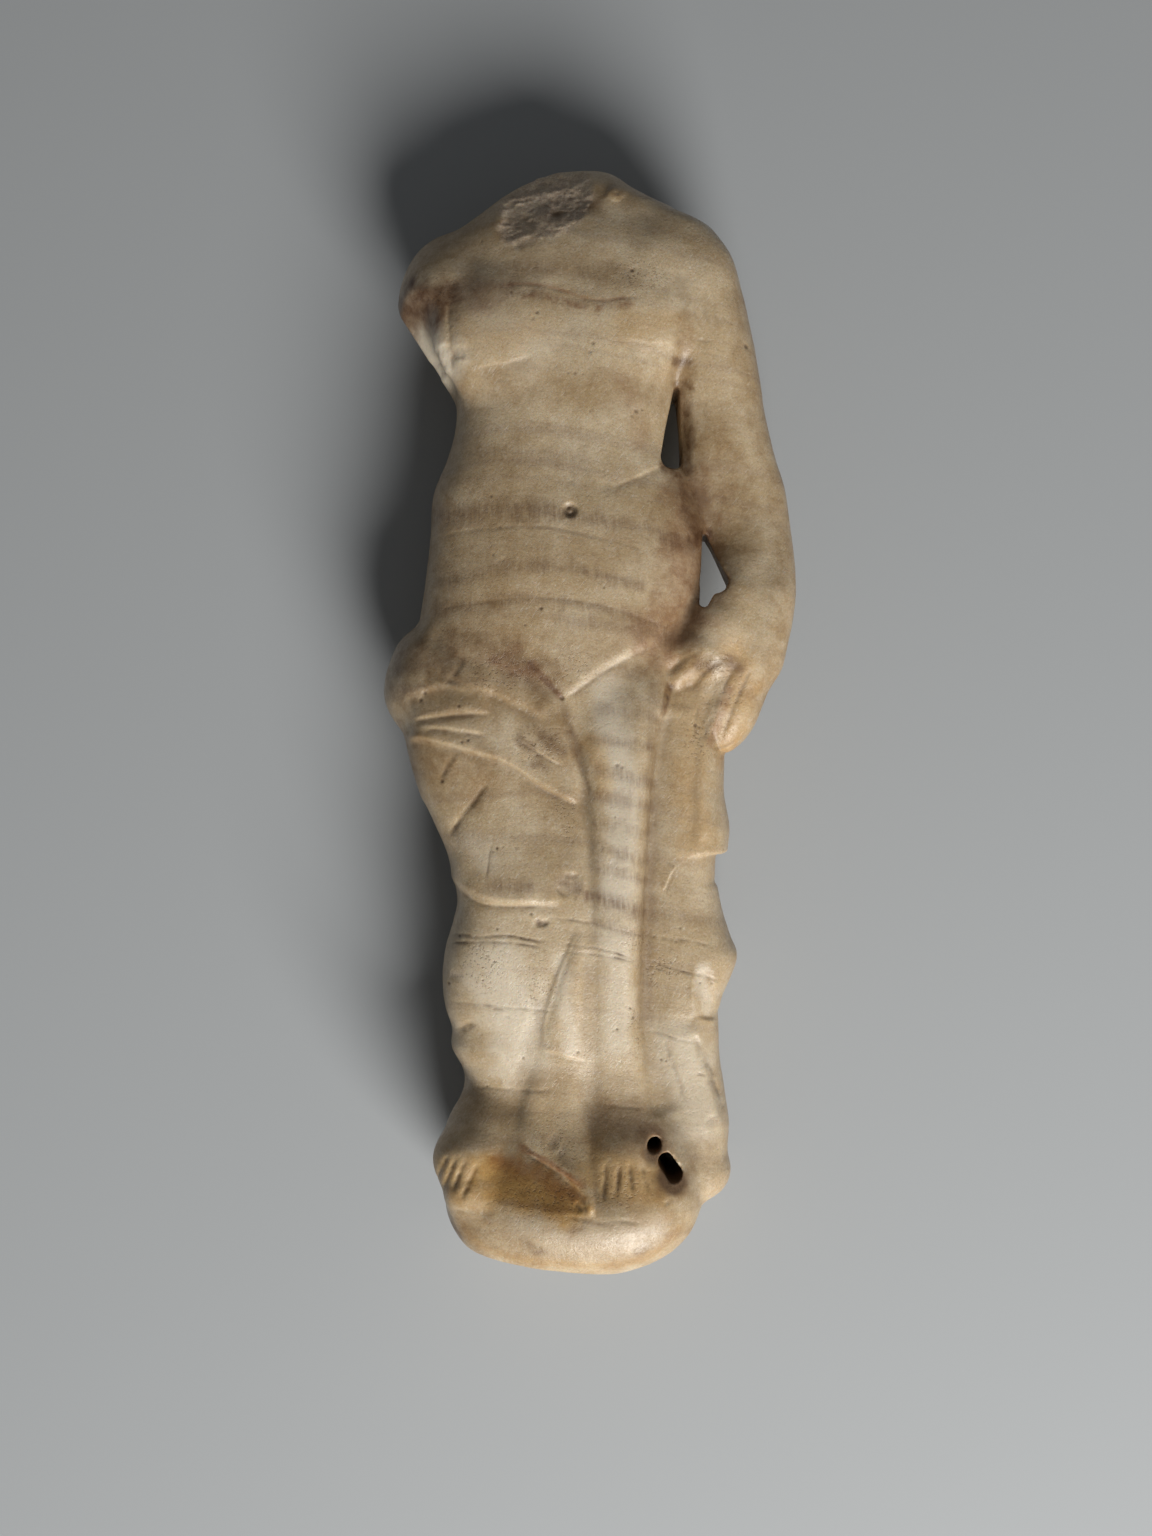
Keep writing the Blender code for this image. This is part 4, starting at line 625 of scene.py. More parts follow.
# Where the stone is pocked: the point picked, half the size across and along, and how much
PITTED = (
    (568, 668, 6.5, 4.5, 0.59), (566, 808, 2.6, 1.6, 0.91), (569, 830, 1.2, 2.6, 0.94),
    (538, 985, 4.5, 8.0, 0.52), (725, 700, 6.0, 8.0, 0.5), (500, 672, 8.0, 4.5, 0.84),
    (540, 748, 5.0, 4.5, 0.84), (715, 665, 4.0, 3.0, 0.77), (660, 970, 4.0, 3.5, 0.84),
    (480, 965, 5.5, 5.0, 0.77), (560, 1150, 5.0, 8.0, 0.49), (620, 1190, 6.0, 4.0, 0.77),
    (545, 1200, 9.0, 4.0, 0.87), (640, 940, 3.0, 3.0, 0.77), (700, 740, 4.5, 5.0, 0.7),
    (635, 1030, 2.0, 6.0, 0.7), (436, 290, 5.0, 4.0, 0.7), (640, 275, 6.0, 4.0, 0.63),
)

# Reading smooth values


def smooth_rise(value):
    """0 below 0, 1 above 1, and a soft S between."""
    value = np.clip(value, 0, 1)
    return value * value * (3 - 2 * value)


def above(points, height, spread):
    """0 below a height over the back, 1 well above it."""
    return smooth_rise((points[:, 2] - height) / spread)


def below(points, height, spread):
    return smooth_rise((height - points[:, 2]) / spread)


def in_reach(spots, low, high, reach):
    """True for the spots in a box grown by a reach."""
    return ((spots > np.array(low) - reach) & (spots < np.array(high) + reach)).all(axis=1)


def spline_table(stations, spacing=0.5):
    """The stations read as smooth curves, at even steps of their first value."""
    rows = np.array(stations, float)
    place = rows[:, 0]
    slopes = np.gradient(rows[:, 1:], place, axis=0)
    even = np.arange(place[0], place[-1] + spacing, spacing).clip(place[0], place[-1])
    row = np.clip(np.searchsorted(place, even, side="right") - 1, 0, len(place) - 2)
    span = (place[row + 1] - place[row])[:, None]
    t = (even - place[row])[:, None] / span
    values = (
        (2 * t**3 - 3 * t**2 + 1) * rows[row, 1:]
        + (t**3 - 2 * t**2 + t) * span * slopes[row]
        + (3 * t**2 - 2 * t**3) * rows[row + 1, 1:]
        + (t**3 - t**2) * span * slopes[row + 1]
    )
    return even, values


def smooth_line(points, spacing=LINE_STEP):
    """A smooth curve through the points, as many short straight steps."""
    points = np.array(points, float)
    steps = np.linalg.norm(np.diff(points, axis=0), axis=1)
    lengths = np.concatenate([[0], np.cumsum(steps)])
    return spline_table(np.column_stack([lengths, points]), spacing)[1]


def grain(points, size, seed):
    """Smooth random values from -1 to 1, changing over that many millimetres."""
    spot = points / size
    base = np.floor(spot).astype(np.int64)
    t = spot - base
    t = t * t * (3 - 2 * t)
    total = np.zeros(len(points))
    for corner in range(8):
        step = np.array((corner & 1, corner >> 1 & 1, corner >> 2 & 1))
        mixed = (base + step) * np.array((73856093, 19349663, 83492791))
        number = mixed[:, 0] ^ mixed[:, 1] ^ mixed[:, 2] ^ (seed * 2654435761)
        number = (number ^ (number >> 13)) * 1274126177 & 0xFFFFFFFF
        number = (number ^ (number >> 16)) & 0xFFFF
        weight = np.where(step, t, 1 - t).prod(axis=1)
        total += weight * number
    return total / 32767.5 - 1


def grains(points, layers):
    """Grain in layers, each of its own amount, size and seed."""
    return sum(amount * grain(points, size, seed) for amount, size, seed in layers)


# Forms, each a distance in millimetres that is negative inside the stone


def soft_min(first, second, width):
    overlap = np.clip(width - np.abs(first - second), 0, None) / width
    return np.minimum(first, second) - overlap * overlap * width / 4


def soft_max(first, second, width):
    return -soft_min(-first, -second, width)


def where_near(points, low, high, measure):
    """Measures only the points close to a box, and calls the others far outside."""
    near = in_reach(points, low, high, NEAR_REACH)
    distance = np.full(len(points), FAR_AWAY)
    if near.any():
        distance[near] = measure(points[near])
    return distance


def column(points, stations, front_square, back_square=FULL, end_width=2.0):
    """An upright loft whose cross sections are rounded boxes."""
    rows = np.array(stations, float)
    low = (rows[:, 1].min(), rows[0, 0], rows[:, 3].min())
    high = (rows[:, 2].max(), rows[-1, 0], rows[:, 4].max())
    even, table = spline_table(stations)

    def measure(near):
        height = near[:, 1]
        left, right, back, front = (np.interp(height, even, table[:, side]) for side in range(4))
        x = near[:, 0] - (left + right) / 2
        z = near[:, 2] - (back + front) / 2
        power = np.where(z > 0, front_square, back_square)
        level = np.abs(2 * x / (right - left)) ** power + np.abs(2 * z / (front - back)) ** power
        level = np.maximum(level, 1e-6) ** (1 / power)
        side_distance = np.hypot(x, z) * (1 - 1 / level)
        end_distance = np.maximum(even[0] - height, height - even[-1])
        return soft_max(side_distance, end_distance, end_width)

    return where_near(points, low, high, measure)


def ball(points, centre, radii):
    centre, radii = np.array(centre), np.array(radii)

    def measure(near):
        away = near - centre
        level = np.maximum(np.linalg.norm(away / radii, axis=1), 1e-3)
        return np.linalg.norm(away, axis=1) * (1 - 1 / level)

    return where_near(points, centre - radii, centre + radii, measure)


def limb(points, line, width=LIMB_JOINT):
    """Round tapered stretches between points of a centre line."""
    rows = np.array(line, float)

    def measure(near):
        distance = None
        for start, end in zip(rows, rows[1:]):
            along = end[:3] - start[:3]
            t = np.clip((near - start[:3]) @ along / (along @ along), 0, 1)
            gap = np.linalg.norm(near - start[:3] - t[:, None] * along, axis=1)
            stretch = gap - (start[3] + t * (end[3] - start[3]))
            distance = stretch if distance is None else soft_min(distance, stretch, width)
        return distance

    low, high = rows[:, :3].min(axis=0), rows[:, :3].max(axis=0)
    return where_near(points, low - WIDEST_LIMB, high + WIDEST_LIMB, measure)


def plane(points, place, facing):
    facing = np.array(facing) / np.linalg.norm(facing)
    return (points - np.array(place)) @ facing


def neck_break(points):
    """The slanting break of the neck, whose sides open out towards the shoulders."""
    height = plane(points, *NECK_BREAK)
    beside = np.abs(points[:, 0] - NECK_BREAK_MIDDLE) - NECK_BREAK_HALF_WIDTH
    return soft_min(height, NECK_BREAK_SPREAD * height - beside, LIMB_BLEND)


def figure(points):
    """The carved figure over its plinth, before any stroke."""
    stump = ball(points, *SHOULDER_STUMP)
    for place, facing in STUMP_BREAKS:
        stump = soft_max(stump, plane(points, place, facing), BROKEN_EDGE)
    body = column(points, TORSO, FULL)
    for breast in (LEFT_BREAST, RIGHT_BREAST):
        body = soft_min(body, ball(points, *breast), FLESH_BLEND)
    for blade in SHOULDER_BLADES:
        body = soft_min(body, ball(points, *blade), BODY_BLEND)
    body = soft_max(body, neck_break(points), CRISP_EDGE)
    body = soft_min(body, stump, BODY_BLEND)
    body = soft_min(body, column(points, ARM, FULL, SOFT), BODY_BLEND)
    body = soft_min(body, limb(points, COLLAR), BODY_BLEND)
    for buttock in (LEFT_BUTTOCK, RIGHT_BUTTOCK):
        body = soft_min(body, ball(points, *buttock), FLESH_BLEND)
    body = soft_min(body, column(points, DRAPED_LEG, BOXY, BOXY), BODY_BLEND)
    body = soft_min(body, column(points, HIP_ROLL, ROUND, ROUND), LIMB_BLEND)
    body = soft_min(body, column(points, BARE_LEG, BOXY, BOXY), BARE_LEG_BLEND)
    body = soft_min(body, column(points, LONG_FALL, BOXY, BOXY), CRISP_EDGE)
    for fall in (HAND_FALL, KNEE_FALL):
        body = soft_min(body, column(points, fall, FULL, FULL, CRISP_EDGE), FOLD_BLEND)
    body = soft_min(body, limb(points, WEB), SOFT_LIMB_BLEND)
    body = soft_min(body, limb(points, WRIST), LIMB_BLEND)
    body = soft_min(body, limb(points, THUMB), CRISP_EDGE)
    for foot in (LEFT_FOOT, RIGHT_FOOT):
        body = soft_min(body, limb(points, foot), SOFT_LIMB_BLEND)
    return soft_min(body, column(points, CENTRE_FALL, BOXY, FULL, FOLD_BLEND), FALL_BLEND)


def plinth(points):
    """The worn block under the feet."""
    centre, radii = np.array(PLINTH_CENTRE), np.array(PLINTH_RADII)

    def measure(near):
        away = near - centre
        level = (np.abs(away / radii) ** np.array(PLINTH_SQUARES)).sum(axis=1)
        level = np.maximum(level, 1e-6) ** (1 / FULL)
        return np.linalg.norm(away, axis=1) * (1 - 1 / level)

    block = where_near(points, centre - radii, centre + radii, measure)
    for place, facing in (PLINTH_SLOPE, PLINTH_CORNER):
        block = soft_max(block, plane(points, place, facing), SOFT_LIMB_BLEND)
    return block


def opening(points, start, end, start_width, end_width, narrowing):
    """Distance in plan from a slot, round at both ends, whose right wall leans below its mouth."""
    start, end = np.array(start), np.array(end)
    along = end - start
    sunk = below(points, *MOUTH)
    plan = points[:, :2] + np.column_stack((sunk * narrowing / 2, sunk * 0))
    t = np.clip((plan - start) @ along / (along @ along), 0, 1)
    gap = np.linalg.norm(plan - start - t[:, None] * along, axis=1)
    width = start_width + t * (end_width - start_width)
    width = width - sunk * narrowing * (START_SHARE + (1 - START_SHARE) * t)
    return gap - np.maximum(width, LEAST_OPENING) / 2


def form(points):
    """The whole stone before any stroke."""
    body = soft_min(figure(points), plinth(points), LIMB_BLEND)
    for slot in OPENINGS:
        body = soft_max(body, -opening(points, *slot), RIM_BLEND)
    for place, facing in (PLINTH_UNDERSIDE, BACK_REST):
        body = soft_max(body, plane(points, place, facing), RIM_BLEND)
    return body


# From the photo to the stone


def on_stone(picked):
    """Where the lines of sight through points picked in the photo meet the stone, as x and y."""
    across, down = (np.array(picked, float) - PHOTO_MIDDLE).T
    turn_cos, turn_sin = math.cos(PHOTO_TURN), math.sin(PHOTO_TURN)
    heights = np.arange(STONE_TOP, 0, -SIGHT_STEP)
    spread = (EYE_HEIGHT - heights) / FOCAL_PIXELS
    x = np.outer(across * turn_cos - down * turn_sin, spread) + EYE[0]
    y = np.outer(-across * turn_sin - down * turn_cos, spread) + EYE[1]
    z = np.broadcast_to(heights, x.shape)
    depth = form(np.column_stack((x.ravel(), y.ravel(), z.ravel()))).reshape(x.shape)
    met = np.where((depth < 0).any(axis=1), (depth < 0).argmax(axis=1), depth.argmin(axis=1))
    row = np.arange(len(met))
    return np.column_stack((x[row, met], y[row, met]))


def placed(rows, settings):
    """Rows of settings and then picked points, with those points made a line on the stone."""
    return [(*row[:settings], on_stone(np.reshape(row[settings:], (-1, 2)))) for row in rows]


def placed_spots(rows):
    """Rows that start with a picked point, with that point on the stone."""
    places = on_stone([row[:2] for row in rows])
    return [(*place, *row[2:]) for place, row in zip(places, rows)]


# Strokes, each a height to add to the surface and the dirt that lies in it; pits at the drill holes also hold
# painted shade


def nearest(spots, curve):
    """How far each spot is from a curve, how far along it, its length, and the spot's side."""
    start, along = curve[:-1], np.diff(curve, axis=0)
    length = np.linalg.norm(along, axis=1)
    closest = np.full(len(spots), np.inf)
    place = np.zeros(len(spots))
    side = np.zeros(len(spots))
    reached = 0.0
    for index in range(len(start)):
        away = spots - start[index]
        t = np.clip(away @ along[index] / length[index] ** 2, 0, 1)
        gap = np.hypot(away[:, 0] - t * along[index, 0], away[:, 1] - t * along[index, 1])
        better = gap < closest
        closest[better] = gap[better]
        place[better] = reached + length[index] * t[better]
        turned = along[index, 0] * away[:, 1] - along[index, 1] * away[:, 0]
        side[better] = turned[better]
        reached += length[index]
    return closest, place, reached, side


def stroke(plan, kind, width, height, line, fade, wear):
    """The lift of one stroke, and how deep in its cut each point lies. Wear leaves it uneven."""
    curve = smooth_line(line, min(LINE_STEP, width))
    reach = STROKE_REACH * (fade if kind == "step" else width)
    near = in_reach(plan, curve.min(axis=0), curve.max(axis=0), reach)
    lift, cut = np.zeros(len(plan)), np.zeros(len(plan))
    if not near.any():
        return lift, cut
    closest, place, reached, side = nearest(plan[near], curve)
    taper = min(STROKE_TAPER, reached / 3)
    ends = smooth_rise(np.minimum(place, reached - place) / taper)
    flat = np.column_stack((plan[near], np.zeros(near.sum())))
    uneven = np.clip(1 + wear * grains(flat, STROKE_GRAIN), *STROKE_STRENGTH)
    if kind == "step":
        signed = np.where(side > 0, closest, -closest)
        rise = smooth_rise(signed / width + 0.5) * np.exp(-np.maximum(signed, 0) / fade)
        foot = np.exp(-((signed / width + 0.6) ** 2) * 2)
        lift[near] = height * ends * (rise - STEP_FOOT * foot * uneven)
        cut[near] = ends * uneven * foot**2
    else:
        sign = -1 if kind == "groove" else 1
        profile = ends * uneven * np.exp(-((closest / width) ** 2))
        lift[near] = sign * height * profile
        cut[near] = profile**1.5
    return lift, cut


def wash(points, width, line):
    """How strongly a stain lies on each point: full along its line and blotchy at its edge."""
    curve = smooth_line(line)
    near = in_reach(points[:, :2], curve.min(axis=0), curve.max(axis=0), 2 * width)
    stain = np.zeros(len(points))
    if near.any():
        spots = points[near]
        closest = nearest(spots[:, :2], curve)[0]
        stain[near] = smooth_rise(WASH_CORE - closest / width + grains(spots, WASH_GRAIN))
    return stain


def dot(plan, x, y, radius, depth):
    gap = np.hypot(plan[:, 0] - x, plan[:, 1] - y)
    return np.exp(-((gap / radius) ** 4)) * depth


def scoop(plan, x, y, half_length, half_width, turn, depth):
    """A shallow chip with a firm edge, longer one way than the other."""
    turn = math.radians(turn)
    along = (plan[:, 0] - x) * math.cos(turn) + (plan[:, 1] - y) * math.sin(turn)
    across = (plan[:, 1] - y) * math.cos(turn) - (plan[:, 0] - x) * math.sin(turn)
    level = np.abs(along / half_length) ** 2.5 + np.abs(across / half_width) ** 2.5
    return np.exp(-(level**2)) * depth


def pitted(points):
    """How much each point is pocked with specks finer than the skin."""
    share = np.zeros(len(points))
    for x, y, half_across, half_along, amount in pitted_spots:
        level = ((points[:, 0] - x) / half_across) ** 2 + ((points[:, 1] - y) / half_along) ** 2
        share = np.maximum(share, amount * np.exp(-level))
    return share * (points[:, 2] > LOWEST_CUT)


def relief(points):
    """Height and dirt of every stroke, pit and chip, with painted shade in the drill holes, faded out round
    the sides.
    """
    front, back = above(points, *FRONT), below(points, *BACK)
    plan = points[:, :2]
    lift, dirt_and_shade = np.zeros(len(points)), np.zeros(len(points))
    patchy = np.clip(DIRT_LEVEL + grains(points, DIRT_GRAIN), *DIRT_STRENGTH)

    def add(face, kind, width, height, line, fade, wear, grime_and_shade):
        raised, cut = stroke(plan, kind, width, height, line, fade, wear)
        lift[:] += face * raised
        dirt_and_shade[:] += face * cut * grime_and_shade

    for row in BROAD_STROKES:
        add(front, *row, BROAD_FADE, BROAD_WEAR, patchy * BROAD_DIRT)
    for row in BACK_STROKES:
        add(back, *row, BROAD_FADE, BROAD_WEAR, BACK_DIRT)
    for kind, width, height, grime_and_shade, line in fine_strokes:
        add(front, kind, width, height, line, FINE_FADE, FINE_WEAR, patchy * grime_and_shade)
    for x, y, radius, depth, grime_and_shade in pits:
        near = (np.abs(plan - (x, y)) < 2 * radius).all(axis=1)
        sunk = dot(plan[near], x, y, radius, depth) * front[near]
        lift[near] -= sunk
        dirt_and_shade[near] += sunk / depth * grime_and_shade
    for x, y, half_length, half_width, turn, depth, _ in scoops:
        lift -= front * scoop(plan, x, y, half_length, half_width, turn, depth)
    pocks = np.clip(grains(points, POCK_GRAIN) - POCK_LEVEL, 0, 1) * pitted(points)
    return lift - POCK_DEPTH * pocks, dirt_and_shade + POCK_DIRT * pocks


def broken(points):
    """How much each point lies on a broken face: the neck, the stump and the chips."""
    high = smooth_rise((points[:, 1] - BROKEN_TOP) / BROKEN_SPREAD) * above(points, *BROKEN_FRONT)
    edge = BREAK_MARGIN + neck_break(points) / BREAK_DEPTH + BREAK_RAGGED * grains(points, BREAK_GRAIN)
    rock = smooth_rise(edge) * high
    for x, y, half_length, half_width, turn, _, share in scoops:
        chip = scoop(points[:, :2], x, y, half_length, half_width, turn, share)
        rock = np.maximum(rock, chip * (points[:, 2] > LOWEST_CHIP))
    return rock


def roughness_of_break(points, rock):
    """Cleaved crystals on the broken faces and a faint hand-worked unevenness elsewhere."""
    cleaved = sum(amount * np.abs(grain(points, size, seed)) for amount, size, seed in CLEAVED_GRAIN)
    cleaved = cleaved + grains(points, CRUMBLED_GRAIN)
    return rock * (CRYSTAL_HEIGHT - cleaved) * BREAK_ROUGHNESS + grains(points, WORKED_GRAIN)


# Working the stone


def link(name, data):
    thing = bpy.data.objects.new(name, data)
    bpy.context.scene.collection.objects.link(thing)
    return thing


def take_up(thing):
    """Makes one object the only one selected, and the active one."""
    for other in bpy.context.view_layer.objects:
        other.select_set(False)
    thing.select_set(True)
    bpy.context.view_layer.objects.active = thing


def finish_with(thing, kind, **settings):
    """Adds a modifier and applies it."""
    take_up(thing)
    modifier = thing.modifiers.new(kind.lower(), kind)
    for name, value in settings.items():
        setattr(modifier, name, value)
    bpy.ops.object.modifier_apply(modifier=modifier.name)


def rows_of(items, name, columns, kind=float):
    """One property of every point, edge or corner, as rows of an array."""
    values = np.empty(len(items) * columns, kind)
    items.foreach_get(name, values)
    return values.reshape(-1, columns)


def points_of(thing):
    return rows_of(thing.data.vertices, "co", 3) / MM + FRAME_ORIGIN


def place_points(thing, points):
    thing.data.vertices.foreach_set("co", ((points - FRAME_ORIGIN) * MM).ravel())
    thing.data.update()


def edges_of(thing):
    return rows_of(thing.data.edges, "vertices", 2, np.int64)


def middle_of_neighbours(values, edges):
    """Each point's value taken as the mean of its neighbours' values."""
    count = np.maximum(np.bincount(edges.ravel(), minlength=len(values)), 1)
    rows = values.reshape(len(values), -1)
    total = np.zeros_like(rows)
    for axis in range(rows.shape[1]):
        total[:, axis] = np.bincount(edges[:, 0], rows[edges[:, 1], axis], len(rows))
        total[:, axis] += np.bincount(edges[:, 1], rows[edges[:, 0], axis], len(rows))
    return (total / count[:, None]).reshape(values.shape)


def softened(values, edges, rounds=1):
    """Values evened out with their neighbours' values, again and again."""
    for _ in range(rounds):
        values = (values + middle_of_neighbours(values, edges)) / 2
    return values


def settle(thing):
    """Moves every point onto the carved form with its relief."""
    edges = edges_of(thing)
    points = points_of(thing)
    corners = np.array(((1, 1, 1), (1, -1, -1), (-1, 1, -1), (-1, -1, 1))) * GRADIENT_REACH
    for turn in range(SETTLING_ROUNDS):
        if turn < SETTLING_ROUNDS - 1:
            points = softened(points, edges)
        values = [form(points + corner) for corner in corners]
        slope = sum(value[:, None] * corner for value, corner in zip(values, corners))
        steep = np.linalg.norm(slope, axis=1)[:, None]
        facing = slope / np.maximum(steep, 1e-9)
        steepness = steep[:, 0] / (4 * GRADIENT_REACH**2)
        distance = sum(values) / 4 / np.maximum(steepness, LEAST_STEEPNESS)
        wanted = 0
        if turn >= PLAIN_ROUNDS:
            wanted = relief(points)[0] + roughness_of_break(points, broken(points))
            wanted = wanted * above(points, *OFF_THE_FLOOR)
        move = np.clip(distance - wanted, -LONGEST_MOVE, LONGEST_MOVE)
        points = points - facing * move[:, None]
    place_points(thing, points)


def near_cuts(points):
    """True beside the fine strokes and pits on the front, where the skin is kept finest."""
    plan = points[:, :2]
    close = np.zeros(len(points), bool)
    for _, width, _, _, line in fine_strokes:
        close |= stroke(plan, "ridge", width + CUT_MARGIN, 1.0, line, FINE_FADE, 0.0)[1] > LEAST_CUT
    for x, y, radius, _, _ in pits:
        close |= np.hypot(plan[:, 0] - x, plan[:, 1] - y) < radius + PIT_MARGIN
    return close & (points[:, 2] > LOWEST_CUT)


def refine_cuts(stone):
    """Splits the remeshed squares that touch a fine cut."""
    close = near_cuts(points_of(stone))
    corners = rows_of(stone.data.loops, "vertex_index", 1, np.int64).reshape(-1, 4)
    bpy.context.tool_settings.mesh_select_mode = (False, False, True)
    take_up(stone)
    bpy.ops.object.mode_set(mode="EDIT")
    bpy.ops.mesh.select_all(action="DESELECT")
    bpy.ops.object.mode_set(mode="OBJECT")
    stone.data.polygons.foreach_set("select", close[corners].any(axis=1))
    bpy.ops.object.mode_set(mode="EDIT")
    bpy.ops.mesh.subdivide(number_cuts=1)
    bpy.ops.object.mode_set(mode="OBJECT")


def thin_out(stone):
    """Fewer triangles where the stone is smooth, fewest behind, and nearly all kept at the cuts."""
    points = points_of(stone)
    plain = PLAIN_WEIGHT + (1 - PLAIN_WEIGHT) * below(points, *HIDDEN)
    plain[near_cuts(points)] = 0.0
    group = stone.vertex_groups.new(name="plain")
    levels = np.round(plain, 2)
    for level in np.unique(levels):
        group.add(np.nonzero(levels == level)[0].tolist(), float(level), "REPLACE")
    finish_with(stone, "TRIANGULATE")
    ratio = MOST_TRIANGLES / len(stone.data.polygons)
    finish_with(stone, "DECIMATE", ratio=ratio, vertex_group="plain", vertex_group_factor=1e-5)
    stone.vertex_groups.clear()


def keep_value(thing, name, values):
    """Stores one number per point under a name that the stone's finish reads."""
    store = thing.data.attributes.new(name, "FLOAT", "POINT")
    store.data.foreach_set("value", np.ascontiguousarray(values, np.float32))


def bedding(points):
    """The height of each point in the stone's own layers, which arch and dip to the right."""
    x = points[:, 0] - BED_TOP
    dip = BED_SLOPE * (np.hypot(x, BED_BEND) + x) / 2 + BED_ARCH * np.minimum(x, 0) ** 2
    return points[:, 1] + dip + grains(points, BEDDING_GRAIN)


def colour_the_stone(thing):
    """Stores stains, some of them painting shade, highlights or glow, dirt with painted shade in the hollows,
    pocks, painted shade on the sides, broken faces and bedding for the finish to read.
    """
    points = points_of(thing)
    edges = edges_of(thing)
    normals = rows_of(thing.data.vertices, "normal", 3)
    hollow = ((middle_of_neighbours(points, edges) - points) * normals).sum(axis=1)
    hollow = softened(hollow, edges, HOLLOW_ROUNDS)
    wide_hollow = ((softened(points, edges, WIDE_ROUNDS) - points) * normals).sum(axis=1)
    front = above(points, *STAINED_FRONT)
    for colour, rows in stains.items():
        strength = np.zeros(len(points))
        for width, amount, line in rows:
            strength = np.maximum(strength, wash(points, width, line) * amount * front)
        keep_value(thing, colour, strength)
    dirt_and_shade = relief(points)[1]
    # Painted shade in the hollows, fine and wide, added to the dirt
    for depth, (amount, most) in ((hollow, HOLLOW_SHADE), (wide_hollow, WIDE_HOLLOW_SHADE)):
        dirt_and_shade = dirt_and_shade + np.clip(depth * amount, 0, most)
    keep_value(thing, "dirt_and_shade", np.clip(dirt_and_shade, 0, 1))
    keep_value(thing, "pitted", pitted(points))
    # Painted shade on the sides, where the stone faces up less
    keep_value(thing, "side", smooth_rise((SHADED_SIDE_FACING - normals[:, 2]) / SHADED_SIDE_SPREAD))
    keep_value(thing, "broken", broken(points))
    keep_value(thing, "bedding", bedding(points))


def carve_stone():
    """The statuette: one skin, settled on the carved form, thinned where it is plain."""
    source = frame["nodes"]["venus_statuette"]
    stone = link("carved_venus", source.data.copy())
    stone.data.materials.clear()
    take_up(stone)
    bpy.ops.object.mode_set(mode="EDIT")
    bpy.ops.mesh.select_all(action="SELECT")
    bpy.ops.mesh.remove_doubles(threshold=WELD)
    bpy.ops.object.mode_set(mode="OBJECT")
    finish_with(stone, "REMESH", mode="VOXEL", voxel_size=SKIN * MM)
    refine_cuts(stone)
    settle(stone)
    thin_out(stone)
    colour_the_stone(stone)
    bpy.ops.object.shade_smooth()
    return stone


# Finish


class Finish:
    """A material's nodes, added one after another, and the colour laid so far."""

    def __init__(self, name):
        self.material = bpy.data.materials.new(name)
        self.material.use_nodes = True
        self.nodes = self.material.node_tree.nodes
        self.links = self.material.node_tree.links
        self.shader = self.nodes["Principled BSDF"]
        self.colour = None

    def give(self, node, **values):
        """Sets a node's inputs, each to a number or to another node's output."""
        for name, value in values.items():
            self.put(node.inputs[name.replace("_", " ")], value)

    def put(self, socket, value):
        if isinstance(value, bpy.types.NodeSocket):
            self.links.new(value, socket)
        else:
            socket.default_value = value

    def measure(self, name):
        node = self.nodes.new("ShaderNodeAttribute")
        node.attribute_name = name
        return node.outputs["Fac"]

    def sum(self, operation, *values):
        node = self.nodes.new("ShaderNodeMath")
        node.operation = operation
        for socket, value in zip(node.inputs, values):
            self.put(socket, value)
        return node.outputs[0]

    def times(self, first, second):
        return self.sum("MULTIPLY", first, second)

    def between(self, value, low, high, low_out=0.0, high_out=1.0):
        node = self.nodes.new("ShaderNodeMapRange")
        self.give(node, Value=value, From_Min=low, From_Max=high, To_Min=low_out, To_Max=high_out)
        return node.outputs["Result"]

    def stretched(self, scale, turn=0.0):
        """Object coordinates in carving millimetres times a scale, turned about the upright axis."""
        place = self.nodes.new("ShaderNodeTexCoord").outputs["Object"]
        node = self.nodes.new("ShaderNodeMapping")
        node.vector_type = "TEXTURE"
        self.give(node, Vector=place, Rotation=(0, 0, turn), Scale=[MM / value for value in scale])
        return node.outputs["Vector"]

    def noise(self, vector, scale, detail=3.0, roughness=0.55, distortion=0.0):
        node = self.nodes.new("ShaderNodeTexNoise")
        self.give(node, Vector=vector, Scale=scale, Detail=detail)
        self.give(node, Roughness=roughness, Distortion=distortion)
        return node.outputs["Fac"]

    def line_noise(self, value, scale, detail=2.0):
        node = self.nodes.new("ShaderNodeTexNoise")
        node.noise_dimensions = "1D"
        self.give(node, W=value, Scale=scale, Detail=detail)
        return node.outputs["Fac"]

    def mix(self, amount, first, second, way="MIX"):
        node = self.nodes.new("ShaderNodeMix")
        node.data_type = "RGBA"
        node.blend_type = way
        node.clamp_factor = True
        for index, value in ((0, amount), (6, first), (7, second)):
            self.put(node.inputs[index], value)
        return node.outputs[2]

    def lay(self, tint, amount, way="MIX"):
        """Lays a colour over what is there."""
        self.colour = self.mix(amount, self.colour, (*tint, 1), way)

    def stain(self, tint, amount):
        """Darkens what is there by a colour."""
        self.lay(tint, amount, "MULTIPLY")


